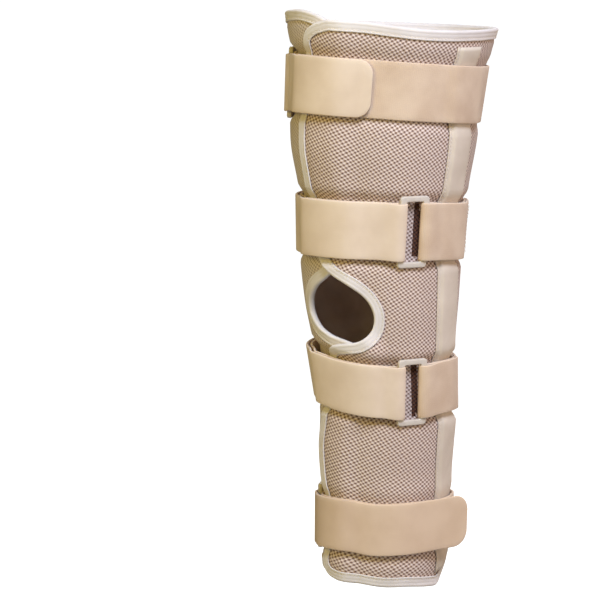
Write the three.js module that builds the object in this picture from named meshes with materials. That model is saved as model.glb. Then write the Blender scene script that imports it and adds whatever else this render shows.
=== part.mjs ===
// Knee immobilizer for a left leg: a padded wrap that laps over at the front, held by four straps.
// Millimetres and degrees. +Z runs up the leg, -Y is the front and +X the outer side of the leg.
// Azimuth 0 is the front and grows towards the outer side. The origin is inside the leg, at the knee cap.
import * as THREE from 'three';

// Wrap
const wrapLength = 490;        // between the first and last row of the sections
const kneeShare = 0.49;        // height of the knee cap above the lowest row, as a share of the length
const thighWidth = 176;        // outside, side to side at the top
const thighDepth = 195;        // outside, front to back at the top
const wall = 4;                // padded cloth, foam between two faces
const lapGap = 1.6;            // between the outer flap and the under flap
const lapSlope = 18;           // degrees over which the outer flap comes down beside the under flap

// Binding tape, folded round every edge of the wrap
const bindingWidth = 9;
const tape = 0.9;
const edgeWall = 2.6;          // the wrap pressed thin inside the tape
const clearance = 0.4;         // between pieces that touch

// Pocket of the side stay, on the outer side
const casingWidth = 33;
const casingHeight = 3;        // how far it stands proud of the wrap
const casingSkin = 0.8;
const casingSeam = 3;          // flat stitched rim along each side
const casingGap = 0.5;         // between the pocket and the wrap
const casingMouth = 14;        // below the top edge of the wrap
const casingFoot = 1.5;        // above the inner rim of the bottom binding
const casingStep = 0.6;        // least height between its rows

// Straps, rings and their tabs
const upperStrap = 49;         // width of the two straps above the knee
const lowerStrap = 45.5;       // width of the two straps below it
const strapThickness = 2;
const pressMargin = 5;         // beside a strap where the wrap is pressed in as deep
const pressReach = 12;         // over which it rises again after that
const ringReach = 80;          // degrees on both sides of a ring that it presses in too
const backFade = 30;           // degrees at the middle of the back over which the pressing fades
const standOff = 1.5;          // from the wrap to a strap that crosses it
const passGap = 2;             // between the two passes of a strap, filled by the hook patch
const hookThickness = 1;
const hookLength = 48;
const hookInset = 2;           // from a strap's edge to its hook patch
const endRadius = 12;          // rounded free ends
const ringBar = 5.5;           // width of a ring's long bars
const ringOpening = 16;
const ringThickness = 4;
const ringEndBar = 4.8;
const ringSlack = 1.2;         // from a strap's edge to the end of the ring's opening
const ringChamfer = 1;
const barClearance = 0.7;      // from a ring's bar to the cloth folded round it

// Steps of the faceted solids
const columnPitch = 12;        // degrees
const strapPitch = 9;
const rowSteps = [1, 1, 2, 1, 2, 1, 2, 1, 4, 1, 2, 1, 2, 1, 2, 1, 1];
const rowCount = rowSteps.reduce((sum, steps) => sum + steps);
const leastRow = 2;            // millimetres
const outlineTolerance = 0.25;
const nearCrossing = 0.02;     // in cells
const leastCell = 1e-8;

// Sections of the worn wrap, from the bottom. Girth is a share of the thigh's width and depth,
// side and back are how far the middle lies off the origin, as shares of the thigh's width.
const sections = [
  { at: 0.000, girth: 0.550, side: -0.002, back: 0.011 },
  { at: 0.041, girth: 0.561, side: -0.002, back: 0.011 },
  { at: 0.145, girth: 0.588, side: 0.000, back: 0.020 },
  { at: 0.190, girth: 0.601, side: -0.006, back: 0.023 },
  { at: 0.243, girth: 0.618, side: -0.001, back: 0.023 },
  { at: 0.294, girth: 0.628, side: 0.008, back: 0.023 },
  { at: 0.418, girth: 0.674, side: -0.003, back: 0.000 },
  { at: 0.490, girth: 0.726, side: -0.010, back: -0.011 },
  { at: 0.569, girth: 0.764, side: -0.014, back: -0.014 },
  { at: 0.684, girth: 0.794, side: 0.002, back: -0.020 },
  { at: 0.763, girth: 0.867, side: 0.004, back: -0.023 },
  { at: 0.816, girth: 0.891, side: 0.013, back: -0.023 },
  { at: 0.867, girth: 0.910, side: 0.026, back: -0.023 },
  { at: 0.922, girth: 0.927, side: 0.046, back: -0.023 },
  { at: 0.969, girth: 0.982, side: 0.055, back: -0.023 },
  { at: 1.000, girth: 1.000, side: 0.056, back: -0.023 },
];

// Upper and lower edge of the wrap, as shares of its length. They start at the outer flap
// and run round the outer side and the back to the under flap, past 360 degrees.
const topEdge = [
  { az: -20, at: 0.9910 }, { az: 0, at: 0.9900 }, { az: 20, at: 0.9865 }, { az: 36, at: 0.9800 },
  { az: 54, at: 0.9730 }, { az: 75, at: 0.9695 }, { az: 107, at: 0.9680 }, { az: 180, at: 0.9655 },
  { az: 240, at: 0.9716 }, { az: 270, at: 0.9800 }, { az: 300, at: 0.9930 }, { az: 325, at: 1.0020 },
  { az: 340, at: 1.0035 }, { az: 352, at: 0.9970 }, { az: 366, at: 0.9860 },
];
const bottomEdge = [
  { az: -30, at: 0.0124 }, { az: -9, at: 0.0071 }, { az: 13, at: 0.0033 }, { az: 35, at: -0.0018 },
  { az: 60, at: -0.0039 }, { az: 85, at: -0.0100 }, { az: 98, at: -0.0120 }, { az: 106, at: -0.0040 },
  { az: 113, at: 0.0110 }, { az: 121, at: 0.0250 }, { az: 134, at: 0.0288 }, { az: 180, at: 0.0247 },
  { az: 250, at: 0.0206 }, { az: 300, at: 0.0165 }, { az: 330, at: 0.0124 }, { az: 352, at: 0.0104 },
];

// Free edges of the two flaps from the top down, with the knee opening cut into both.
const outerFlapEdge = [
  { az: 1, at: 0.9898 }, { az: -9, at: 0.9800 }, { az: -15.5, at: 0.9635 }, { az: -17.5, at: 0.9430 },
  { az: -18.5, at: 0.8980 }, { az: -20.5, at: 0.8165 }, { az: -20.8, at: 0.7350 },
  { az: -20, at: 0.6530 }, { az: -16, at: 0.5930 }, { az: -9, at: 0.5737 }, { az: 1, at: 0.5530 },
  { az: 15, at: 0.5320 }, { az: 25.5, at: 0.5080 }, { az: 30, at: 0.4820 }, { az: 27.5, at: 0.4550 },
  { az: 18, at: 0.4370 }, { az: 5, at: 0.4312 }, { az: -4, at: 0.4270 }, { az: -11, at: 0.4165 },
  { az: -14.5, at: 0.3980 }, { az: -18, at: 0.3635 }, { az: -26, at: 0.3060 }, { az: -30, at: 0.2550 },
  { az: -30, at: 0.1840 }, { az: -29, at: 0.1125 }, { az: -28, at: 0.0510 }, { az: -26, at: 0.0288 },
  { az: -20, at: 0.0140 }, { az: -9, at: 0.0071 },
];
const underFlapEdge = [
  { az: 352, at: 0.9970 }, { az: 359, at: 0.9860 }, { az: 362, at: 0.9660 }, { az: 362, at: 0.8980 },
  { az: 360, at: 0.8165 }, { az: 360, at: 0.6940 }, { az: 365, at: 0.6165 }, { az: 367, at: 0.5840 },
  { az: 363, at: 0.5635 }, { az: 352, at: 0.5430 }, { az: 340, at: 0.5250 }, { az: 330, at: 0.5000 },
  { az: 328.5, at: 0.4780 }, { az: 336, at: 0.4570 }, { az: 350, at: 0.4430 }, { az: 366, at: 0.4345 },
  { az: 375, at: 0.4260 }, { az: 379, at: 0.4100 }, { az: 378, at: 0.3880 }, { az: 371, at: 0.3500 },
  { az: 358, at: 0.3060 }, { az: 352, at: 0.2550 }, { az: 352, at: 0.0660 }, { az: 350, at: 0.0400 },
  { az: 344, at: 0.0200 }, { az: 333, at: 0.0120 },
];

// Where the outer flap starts to come down past the edge of the under flap.
const lapEnd = [
  { at: 0.000, az: -4 }, { at: 0.255, az: -4 }, { at: 0.306, az: 2 }, { at: 0.3635, az: 18 },
  { at: 0.404, az: 24 }, { at: 0.424, az: 23 }, { at: 0.450, az: 16 }, { at: 0.490, az: 10 },
  { at: 0.551, az: 11 }, { at: 0.584, az: 11 }, { at: 0.6165, az: 8 }, { at: 0.694, az: 4 },
  { at: 1.000, az: 5 },
];

// Middle line of the stay's pocket.
const casingLine = [
  { at: 0.000, az: 110 }, { at: 0.190, az: 103 }, { at: 0.490, az: 94.5 }, { at: 0.694, az: 91 },
  { at: 0.816, az: 90 }, { at: 1.000, az: 85 },
];

// One row for each strap, from the top. The strap is sewn down at sewn, runs to its ring, folds
// round the ring's nearer bar and ends on itself at free. The ring's tab is sewn down at tab.
// Lean is the ring's turn in degrees. As shares of the width: press is how deep the strap presses
// the wrap in, bite how much deeper its ring does, loose how far a free end leaves the wrap, and
// flare how far the upper edge stands off.
const straps = [
  { width: upperStrap, ring: -64, sewn: 150, free: 27, tab: -140, lean: 0,
    press: 0.055, bite: 0.085, loose: 0, flare: 0,
    line: [{ az: -150, at: 0.872 }, { az: -64, at: 0.874 }, { az: -17, at: 0.8790 }, { az: 20, at: 0.8745 },
      { az: 57, at: 0.8660 }, { az: 101, at: 0.8555 }, { az: 150, at: 0.850 }] },
  { width: upperStrap, ring: 57, sewn: -150, free: -98, tab: 140, lean: 0,
    press: 0.09, bite: 0.01, loose: 0, flare: 0,
    line: [{ az: -150, at: 0.626 }, { az: -60, at: 0.6300 }, { az: -12, at: 0.6325 }, { az: 15, at: 0.6316 },
      { az: 56, at: 0.6270 }, { az: 80, at: 0.6235 }, { az: 102, at: 0.6190 }, { az: 150, at: 0.616 }] },
  { width: lowerStrap, ring: 57, sewn: -150, free: -100, tab: 140, lean: 3,
    press: 0.12, bite: 0, loose: 0, flare: 0.09,
    line: [{ az: -150, at: 0.382 }, { az: -70, at: 0.376 }, { az: -22, at: 0.3640 }, { az: 0, at: 0.3560 },
      { az: 28, at: 0.3490 }, { az: 56, at: 0.3450 }, { az: 87, at: 0.3475 }, { az: 150, at: 0.344 }] },
  { width: lowerStrap - 1, ring: -62, sewn: 150, free: 60, tab: -140, lean: 0,
    press: 0.035, bite: 0.02, loose: 1.17, flare: 0,
    line: [{ az: -150, at: 0.108 }, { az: -62, at: 0.106 }, { az: 0, at: 0.1095 }, { az: 23, at: 0.1030 },
      { az: 57, at: 0.1030 }, { az: 101, at: 0.1020 }, { az: 150, at: 0.104 }] },
];
const flareMiddle = -52;       // azimuth at which the third strap's upper edge stands off most
const flareReach = 48;

const colours = {
  wrap: 0xc1ab9f, binding: 0xefe8e2, casing: 0xcdbcae, strap: 0xe2cbac, ring: 0xe3dcd2, hook: 0xd8cbb8,
};

const lift = wall + lapGap;
const heightAt = (share) => (share - kneeShare) * wrapLength;
const shareAt = (z) => z / wrapLength + kneeShare;
const smooth = (t) => THREE.MathUtils.smoothstep(t, 0, 1);
const rad = THREE.MathUtils.degToRad;

// Value of a table's column between its rows, on a smooth curve; the end values hold beyond.
function read(table, key, column, place) {
  let next = 1;
  while (next < table.length - 1 && table[next][key] < place) next++;
  const slope = (i) => {
    const low = table[Math.max(i - 1, 0)];
    const high = table[Math.min(i + 1, table.length - 1)];
    return (high[column] - low[column]) / (high[key] - low[key]);
  };
  const [from, to] = [table[next - 1], table[next]];
  const span = to[key] - from[key];
  const t = THREE.MathUtils.clamp((place - from[key]) / span, 0, 1);
  const [t2, t3] = [t * t, t * t * t];
  return from[column] * (2 * t3 - 3 * t2 + 1) + slope(next - 1) * span * (t3 - 2 * t2 + t)
    + to[column] * (3 * t2 - 2 * t3) + slope(next) * span * (t3 - t2);
}

// How deep the straps press the wrap in, which fades out at the back where they are sewn on.
function pressed(az, z) {
  const depth = straps.reduce((sum, strap) => {
    const beyond = Math.abs(z - strapHeight(strap, az)) - strap.width / 2 - pressMargin;
    const bite = strap.bite * (1 - smooth(Math.abs(nearer(az) - strap.ring) / ringReach));
    const share = 1 - THREE.MathUtils.clamp(beyond / pressReach, 0, 1);
    return sum + (strap.press + bite) * strap.width * share;
  }, 0);
  return depth * frontShare(az);
}

// Azimuth from -180 to 180, and how far a place is from the middle of the back, up to one.
const nearer = (az) => (az > 180 ? az - 360 : az);
const frontShare = (az) => smooth((180 - Math.abs(nearer(az))) / backFade);

// Height of a strap's middle line, whose two ends are brought together across the back.
function strapHeight(strap, az) {
  const ends = (strap.line[0].at + strap.line.at(-1).at) / 2;
  return heightAt(THREE.MathUtils.lerp(ends, read(strap.line, 'az', 'at', nearer(az)), frontShare(az)));
}

// Point at a height off the outer face of the wrap where it lies in one layer.
function onBody(az, z, off) {
  const at = shareAt(z);
  const girth = read(sections, 'at', 'girth', at);
  const turn = rad(az);
  const rise = off - pressed(az, z);
  return new THREE.Vector3(
    thighWidth * read(sections, 'at', 'side', at) + (thighWidth / 2 * girth + rise) * Math.sin(turn),
    thighWidth * read(sections, 'at', 'back', at) - (thighDepth / 2 * girth + rise) * Math.cos(turn),
    z);
}

// Millimetres along the wrap for one degree of azimuth.
function degreeLength(z) {
  return rad((thighWidth + thighDepth) / 4 * read(sections, 'at', 'girth', shareAt(z)));
}

const topAt = (az) => heightAt(read(topEdge, 'az', 'at', az));
const bottomAt = (az) => heightAt(read(bottomEdge, 'az', 'at', az));

// How far the outer flap is lifted off the leg by the under flap.
function lapLift(az, z) {
  return lift * (1 - smooth((az - read(lapEnd, 'at', 'az', shareAt(z))) / lapSlope));
}

// Closed solid from corner points and triangles, turned so that its faces point out.
function solid(points, triangles) {
  const volume = triangles.reduce((sum, [i, j, k]) =>
    sum + points[i].dot(points[j].clone().cross(points[k])), 0);
  const faces = volume < 0 ? triangles.map(([i, j, k]) => [i, k, j]) : triangles;
  const geometry = new THREE.BufferGeometry().setFromPoints(points);
  geometry.setIndex(faces.flat());
  geometry.computeVertexNormals();
  return geometry;
}

// Two triangles for a four-sided face, split along its shorter diagonal.
function quad(points, [a, b, c, d]) {
  const split = points[a].distanceTo(points[c]) <= points[b].distanceTo(points[d]);
  return split ? [[a, b, c], [a, c, d]] : [[a, b, d], [b, c, d]];
}

// Solid swept through stations, each a ring of as many corners; closed into a loop or capped.
function sweep(stations, loop) {
  const corners = stations[0].length;
  const points = stations.flat();
  const triangles = [];
  for (let i = 0; i < stations.length - (loop ? 0 : 1); i++) {
    const next = (i + 1) % stations.length;
    for (let j = 0; j < corners; j++) {
      const k = (j + 1) % corners;
      triangles.push(...quad(points, [
        i * corners + j, i * corners + k, next * corners + k, next * corners + j]));
    }
  }
  if (!loop) {
    const last = (stations.length - 1) * corners;
    const flat = THREE.ShapeUtils.triangulateShape(capOutline(stations[0]), []);
    flat.forEach(([i, j, k]) => triangles.push([i, k, j], [last + i, last + j, last + k]));
  }
  return solid(points, triangles);
}

// Corners of an end cap in the cap's own plane.
function capOutline(corners) {
  const across = corners[1].clone().sub(corners[0]).normalize();
  const normal = new THREE.Vector3();
  corners.forEach((p, i) => {
    normal.add(p.clone().sub(corners[0]).cross(corners[(i + 1) % corners.length].clone().sub(corners[0])));
  });
  const up = normal.normalize().cross(across);
  return corners.map((p) => {
    const from = p.clone().sub(corners[0]);
    return new THREE.Vector2(from.dot(across), from.dot(up));
  });
}

// Outline of the flat wrap as azimuth and height, from the outer flap's top corner round.
function wrapOutline() {
  const curve = (table) => new THREE.CatmullRomCurve3(
    table.map((row) => new THREE.Vector3(row.az, heightAt(row.at), 0)), false, 'centripetal')
    .getPoints(table.length * 8);
  const edge = (from, to, heightOf) => {
    const steps = Math.round(Math.abs(to - from) / 2);
    return Array.from({ length: steps - 1 }, (_, i) => {
      const az = from + (to - from) * (i + 1) / steps;
      return new THREE.Vector3(az, heightOf(az), 0);
    });
  };
  const outer = curve(outerFlapEdge);
  const under = curve(underFlapEdge);
  return [
    ...edge(outer[0].x, under[0].x, topAt), ...under,
    ...edge(under.at(-1).x, outer.at(-1).x, bottomAt), ...outer.reverse(),
  ];
}

// Stations along the outline: the edge, the way inwards for one millimetre, and the place of the
// tape's inner rim in the grid of columns and rows. Only grid crossings and needed corners stay.
function wrapStations() {
  const outline = wrapOutline();
  const count = outline.length;
  const dense = outline.map((edge, i) => {
    const before = outline[(i + count - 1) % count];
    const after = outline[(i + 1) % count];
    const scale = degreeLength(edge.y);
    const along = new THREE.Vector2((after.x - before.x) * scale, after.y - before.y).normalize();
    return { edge, inward: new THREE.Vector2(along.y / scale, -along.x) };
  });
  dense.forEach((station) => { station.rim = gridPlace(insetPlace(station, bindingWidth + clearance)); });

  const marked = dense.flatMap((station, i) => {
    const next = dense[(i + 1) % count];
    const crossings = gridCrossings(station.rim, next.rim).map((t) => ({
      edge: station.edge.clone().lerp(next.edge, t),
      inward: station.inward.clone().lerp(next.inward, t),
      rim: station.rim.clone().lerp(next.rim, t),
      keep: true,
    }));
    return [station, ...crossings];
  });
  return thinned(marked);
}

const insetPlace = ({ edge, inward }, inset) =>
  new THREE.Vector2(edge.x + inward.x * inset, edge.y + inward.y * inset);

const gridName = (p) => `${Math.round(p.x * 1e4)} ${Math.round(p.y * 1e4)}`;

// Heights of the grid's rows: the bottom of the wrap, for each strap the four heights where its
// pressing starts and ends, the top, and even steps between these.
function rowLevels(az) {
  const levels = [bottomAt(az)];
  const add = (z) => levels.push(Math.max(z, levels.at(-1) + leastRow));
  [...straps].reverse().forEach((strap) => {
    const half = strap.width / 2 + pressMargin;
    [-half - pressReach, -half, half, half + pressReach]
      .forEach((step) => add(strapHeight(strap, az) + step));
  });
  add(topAt(az));
  return [levels[0], ...rowSteps.flatMap((steps, i) => Array.from({ length: steps }, (_, j) =>
    THREE.MathUtils.lerp(levels[i], levels[i + 1], (j + 1) / steps)))];
}

// Grid coordinates count columns round the leg and rows between the two edges of the wrap.
function gridPlace({ x, y }) {
  const levels = rowLevels(x);
  const row = THREE.MathUtils.clamp(levels.findIndex((z) => z > y) - 1, 0, rowCount - 1);
  return new THREE.Vector2(x / columnPitch, row + (y - levels[row]) / (levels[row + 1] - levels[row]));
}

function gridHeight(column, place) {
  const levels = rowLevels(column * columnPitch);
  const row = Math.min(Math.floor(place), rowCount - 1);
  return THREE.MathUtils.lerp(levels[row], levels[row + 1], place - row);
}

function gridCrossings(from, to) {
  const found = [];
  ['x', 'y'].forEach((axis) => {
    const [low, high] = [Math.min(from[axis], to[axis]), Math.max(from[axis], to[axis])];
    for (let line = Math.ceil(low); line < high; line++) {
      if (line > low) found.push((line - from[axis]) / (to[axis] - from[axis]));
    }
  });
  return found.sort((a, b) => a - b);
}

// Drops stations that a straight line between their neighbours can stand for, and those beside
// a grid crossing.
function thinned(stations) {
  const apart = stations.filter(({ rim, keep }, i) => {
    const beside = [stations.at(i - 1), stations[(i + 1) % stations.length]];
    return keep || beside.every((other) => !other.keep || other.rim.distanceTo(rim) > nearCrossing);
  });
  const kept = [apart[0]];
  let start = 0;
  for (let i = 1; i < apart.length; i++) {
    const next = apart[(i + 1) % apart.length];
    const chord = new THREE.Line3(apart[start].edge, next.edge);
    const away = apart.slice(start + 1, i + 1).some(({ edge }) =>
      chord.closestPointToPoint(edge, true, new THREE.Vector3()).distanceTo(edge) > outlineTolerance);
    if (apart[i].keep || away) {
      kept.push(apart[i]);
      start = i;
    }
  }
  return kept;
}

// Part of a polygon on one side of a grid line.
function clip(polygon, axis, line, side) {
  const inside = (p) => (p[axis] - line) * side >= 0;
  const out = [];
  polygon.forEach((p, i) => {
    const q = polygon[(i + 1) % polygon.length];
    if (inside(p)) out.push(p);
    if (inside(p) !== inside(q) && p[axis] !== line && q[axis] !== line) {
      const t = (line - p[axis]) / (q[axis] - p[axis]);
      const cut = p.clone().lerp(q, t);
      cut[axis] = line;
      out.push(cut);
    }
  });
  return out;
}

// Triangles of the wrap's field inside the binding, cut into cells by the grid.
function fieldCells(rim) {
  const columns = rim.map((p) => p.x);
  const cells = [];
  for (let row = 0; row < rowCount; row++) {
    const band = clip(clip(rim, 'y', row, 1), 'y', row + 1, -1);
    for (let column = Math.floor(Math.min(...columns)); column < Math.max(...columns); column++) {
      const cell = clip(clip(band, 'x', column, 1), 'x', column + 1, -1);
      const corners = cell.filter((p, i) => gridName(p) !== gridName(cell[(i + 1) % cell.length]));
      if (corners.length > 2 && Math.abs(THREE.ShapeUtils.area(corners)) > leastCell) cells.push(corners);
    }
  }
  return cells;
}

// The wrap: a field of full thickness and a thinner tongue all round that the tape folds over.
function wrapPanel(stations) {
  const points = [];
  const indexOf = new Map();
  const rimIndex = new Map(stations.map(({ rim }, i) => [gridName(rim), i]));
  const addPair = (name, az, z, thickness) => {
    if (!indexOf.has(name)) {
      indexOf.set(name, points.length);
      const middle = layerLift(az, z) - wall / 2;
      points.push(onBody(az, z, middle + thickness / 2), onBody(az, z, middle - thickness / 2));
    }
    return indexOf.get(name);
  };
  const fieldPoint = (p) => {
    const onRim = rimIndex.has(gridName(p));
    return addPair(gridName(p), p.x * columnPitch, gridHeight(p.x, p.y), onRim ? edgeWall : wall);
  };
  const tongueTip = (index) => {
    const place = insetPlace(stations[index], tape + clearance);
    return addPair(`tip ${index}`, place.x, place.y, edgeWall);
  };

  const triangles = [];
  const border = new Map();
  const addFace = (i, j, k) => triangles.push([i, j, k], [i + 1, k + 1, j + 1]);
  fieldCells(stations.map(({ rim }) => rim)).forEach((corners) => {
    const names = corners.map(gridName);
    const indices = corners.map(fieldPoint);
    THREE.ShapeUtils.triangulateShape(corners, []).forEach((face) => {
      addFace(...face.map((n) => indices[n]));
      face.forEach((n, i) => {
        const [from, to] = [names[n], names[face[(i + 1) % 3]]];
        if (!border.delete(`${to}|${from}`)) border.set(`${from}|${to}`, [from, to]);
      });
    });
  });
  border.forEach(([from, to]) => {
    const [i, j] = [indexOf.get(from), indexOf.get(to)];
    const [k, m] = [tongueTip(rimIndex.get(to)), tongueTip(rimIndex.get(from))];
    quad(points, [j, i, m, k]).forEach((face) => addFace(...face));
    triangles.push([k, m, m + 1], [k, m + 1, k + 1]);
  });
  return solid(points, triangles);
}

// The under flap lies on the leg; everything up to the back belongs to the outer flap's lift.
const layerLift = (az, z) => (az < 180 ? lapLift(az, z) : 0);

// Tape folded over the tongue, swept round the whole outline.
function edgeBinding(stations) {
  const inner = edgeWall / 2 + clearance;
  const outer = inner + tape;
  const profile = [
    [0, outer], [bindingWidth, outer], [bindingWidth, inner], [tape, inner],
    [tape, -inner], [bindingWidth, -inner], [bindingWidth, -outer], [0, -outer],
  ];
  return sweep(stations.map((station) => profile.map(([inset, off]) => {
    const { x, y } = insetPlace(station, inset);
    return onBody(x, y, layerLift(x, y) - wall / 2 + off);
  })), true);
}

// Flat sleeve for the stay with an open mouth at the top. Its ends follow the edges of the wrap.
function stayCasing() {
  const halfHollow = casingWidth / 2 - casingSeam;
  const innerHalf = halfHollow - casingSkin;
  const roof = casingGap + casingHeight;
  const shares = (list, half, off) => list.map((share) => [share * half, off]);
  const outline = [
    ...shares([-1, -0.5, 0, 0.5, 1], casingWidth / 2, casingGap),
    [casingWidth / 2, casingGap + casingSkin],
    ...shares([1, 1 / 3, -1 / 3, -1], halfHollow, roof),
    [-casingWidth / 2, casingGap + casingSkin],
  ];
  const hollow = [
    ...shares([-1, -1 / 3, 1 / 3, 1], innerHalf, casingGap + casingSkin),
    ...shares([1, 1 / 3, -1 / 3, -1], innerHalf, roof - casingSkin),
  ];
  const place = (row, rise) => ([across, off]) => {
    const level = rowLevels(read(casingLine, 'at', 'az', row / rowCount))[row];
    const az = read(casingLine, 'at', 'az', shareAt(level)) + across / degreeLength(level);
    const spread = casingWidth / 4 / degreeLength(level);
    const lowest = Math.max(bottomAt(az - spread), bottomAt(az), bottomAt(az + spread));
    const low = lowest + bindingWidth + casingFoot + row * casingStep;
    const high = topAt(az) - casingMouth - (rowCount - row) * casingStep;
    return onBody(az, THREE.MathUtils.clamp(rowLevels(az)[row], low, high) + rise, off);
  };
  const rows = Array.from({ length: rowCount + 1 }, (_, row) => row);
  const outside = rows.map((row) => outline.map(place(row, 0)));
  const inside = rows.map((row) => hollow.map(place(row, row ? 0 : casingSeam)));
  return pocket(outside, inside);
}

// Closed wall between an outer sweep and a hollow that opens at the last station.
function pocket(outside, inside) {
  const points = [...outside.flat(), ...inside.flat()];
  const triangles = [];
  const side = (stations, first, flip) => {
    const corners = stations[0].length;
    for (let i = 0; i < stations.length - 1; i++) {
      for (let j = 0; j < corners; j++) {
        const k = (j + 1) % corners;
        const [a, b] = [first + i * corners + j, first + i * corners + k];
        const [c, d] = [b + corners, a + corners];
        triangles.push(...quad(points, flip ? [b, a, d, c] : [a, b, c, d]));
      }
    }
  };
  const base = outside.length * outside[0].length;
  side(outside, 0, false);
  side(inside, base, true);
  THREE.ShapeUtils.triangulateShape(capOutline(outside[0]), [])
    .forEach(([i, j, k]) => triangles.push([i, k, j]));
  THREE.ShapeUtils.triangulateShape(capOutline(inside[0]), [])
    .forEach(([i, j, k]) => triangles.push([base + i, base + j, base + k]));
  const rimOut = outside.at(-1);
  const rimIn = inside.at(-1);
  const plane = capOutline([...rimOut, ...rimIn]);
  const loops = [plane.slice(0, rimOut.length), plane.slice(rimOut.length)];
  const [firstOut, firstIn] = [base - rimOut.length, points.length - rimIn.length];
  const indexIn = (n) => (n < rimOut.length ? firstOut + n : firstIn + n - rimOut.length);
  THREE.ShapeUtils.triangulateShape(loops[0], [loops[1]])
    .forEach((face) => triangles.push(face.map(indexIn)));
  return solid(points, triangles);
}

// The outer flap's edge and where its lift ends, for the whole width of a strap.
function shoulders(strap) {
  const middle = read(strap.line, 'az', 'at', 0);
  const half = strap.width / 2 / wrapLength;
  const over = (table) => [-half, 0, half].map((step) => read(table, 'at', 'az', middle + step));
  return { flapEdge: Math.min(...over(flapEdgeByHeight)), lapStop: Math.max(...over(lapEnd)) };
}

// The outer flap's edge as a table that can be read by height.
const flapEdgeByHeight = outerFlapEdge.slice().reverse();

// Height of what lies under a strap: the lapped flap and the stay's pocket, with soft shoulders.
function groundUnder(strap, az, z) {
  const { flapEdge, lapStop } = shoulders(strap);
  const lap = lift * smooth((az - flapEdge + 13) / 11) * (1 - smooth((az - lapStop) / lapSlope));
  const off = Math.abs(az - read(casingLine, 'at', 'az', shareAt(z))) * degreeLength(z) - casingWidth / 2;
  return lap + (casingHeight + casingGap) * (1 - smooth((off - 1.5) / 7));
}

// Middle line, width direction and thickness direction of a strap where it lies on the wrap.
function layOn(strap, az, off) {
  const middle = heightAt(read(strap.line, 'az', 'at', az));
  const flare = strap.flare * strap.width * (1 - smooth(Math.abs(az - flareMiddle) / flareReach));
  const place = (z, extra) => onBody(az, z, groundUnder(strap, az, z) + standOff + off + extra);
  const upper = place(middle + strap.width / 2, flare);
  const lower = place(middle - strap.width / 2, 0);
  return { centre: upper.clone().lerp(lower, 0.5), up: upper.sub(lower).normalize() };
}

// Axes of a ring: its middle, along the leg, round the leg and outwards.
function ringAxes(strap) {
  const z = heightAt(read(strap.line, 'az', 'at', strap.ring));
  const half = strap.width / 2;
  const up = onBody(strap.ring, z + half, 0).sub(onBody(strap.ring, z - half, 0)).normalize();
  const round = onBody(strap.ring + 1, z, 0).sub(onBody(strap.ring - 1, z, 0)).normalize();
  const out = round.clone().cross(up).normalize();
  up.applyAxisAngle(out, rad(-strap.lean));
  round.copy(up).cross(out).normalize();
  const onFold = strapThickness + barClearance + ringThickness / 2;
  const off = groundUnder(strap, strap.ring, z) + standOff + onFold;
  return { middle: onBody(strap.ring, z, off), up, round, out };
}

// Stations of cloth folded round one long bar of a ring; side is -1 or 1 for the bar's side.
function foldRound(axes, side) {
  const bar = side * (ringOpening + ringBar) / 2;
  const reach = ringThickness / 2 + barClearance + strapThickness / 2;
  const nose = ringBar / 2 - ringThickness / 2;
  const place = (along, off) => ({
    centre: axes.middle.clone().addScaledVector(axes.round, along).addScaledVector(axes.out, off),
    up: axes.up.clone(),
  });
  const outer = side * (ringOpening / 2 + ringBar + 1.5);
  const steps = 6;
  const round = Array.from({ length: steps + 1 }, (_, i) => {
    const turn = Math.PI * i / steps;
    return place(bar - side * (nose + reach * Math.sin(turn)), -reach * Math.cos(turn));
  });
  return [place(outer, -reach), ...round, place(outer, reach)];
}

// Ribbon of even thickness through stations, with the ends given by each station's share of width.
function ribbon(stations, width, thickness) {
  return sweep(stations.map((station, i) => {
    const before = stations[Math.max(i - 1, 0)].centre;
    const after = stations[Math.min(i + 1, stations.length - 1)].centre;
    const out = after.clone().sub(before).cross(station.up).normalize();
    const corner = (sideways, outwards) => station.centre.clone()
      .addScaledVector(station.up, sideways * width * (station.share ?? 1) / 2)
      .addScaledVector(out, outwards * thickness / 2);
    return [corner(-1, -1), corner(1, -1), corner(1, 1), corner(-1, 1)];
  }), false);
}

// Direction from the sewn end to the ring, where the second pass stops following the wrap and
// where the hook patch under it starts.
function freeEnd(strap) {
  const towards = strap.ring > strap.sewn ? 1 : -1;
  const scale = degreeLength(heightAt(read(strap.line, 'az', 'at', strap.free)));
  const laid = strap.loose ? strap.free : strap.free + towards * endRadius / scale;
  return { towards, laid, hook: laid + towards * hookLength / scale };
}

// Azimuths from one end to the other in even steps, denser over shoulders.
function strapAzimuths(strap, from, to) {
  const z = heightAt(read(strap.line, 'az', 'at', 0));
  const casing = read(casingLine, 'at', 'az', shareAt(z));
  const shoulder = (casingWidth / 2 + 2) / degreeLength(z);
  const { flapEdge } = shoulders(strap);
  const { laid, hook } = freeEnd(strap);
  const stops = [laid, hook];
  const offer = (az) => {
    if (stops.every((stop) => Math.abs(stop - az) > 3)) stops.push(az);
  };
  [-shoulder - 5, -shoulder, shoulder, shoulder + 5].forEach((step) => offer(casing + step));
  [-18, -12, -7, -2].forEach((step) => offer(flapEdge + step));
  for (let az = -180; az <= 180; az += strapPitch) offer(az);
  const [low, high] = [Math.min(from, to), Math.max(from, to)];
  const between = stops.filter((az) => az > low + 2 && az < high - 2);
  const all = [low, ...between.sort((a, b) => a - b), high];
  return from < to ? all : all.reverse();
}

// Last stations of a free end, narrowed along two quarter circles.
function roundedEnd(end, along, width) {
  return [0.5, 0.85, 1].map((share) => ({
    centre: end.centre.clone().addScaledVector(along, endRadius * (share - 1)),
    up: end.up,
    share: 1 - 2 * endRadius * (1 - Math.sqrt(1 - share * share)) / width,
  }));
}

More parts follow.
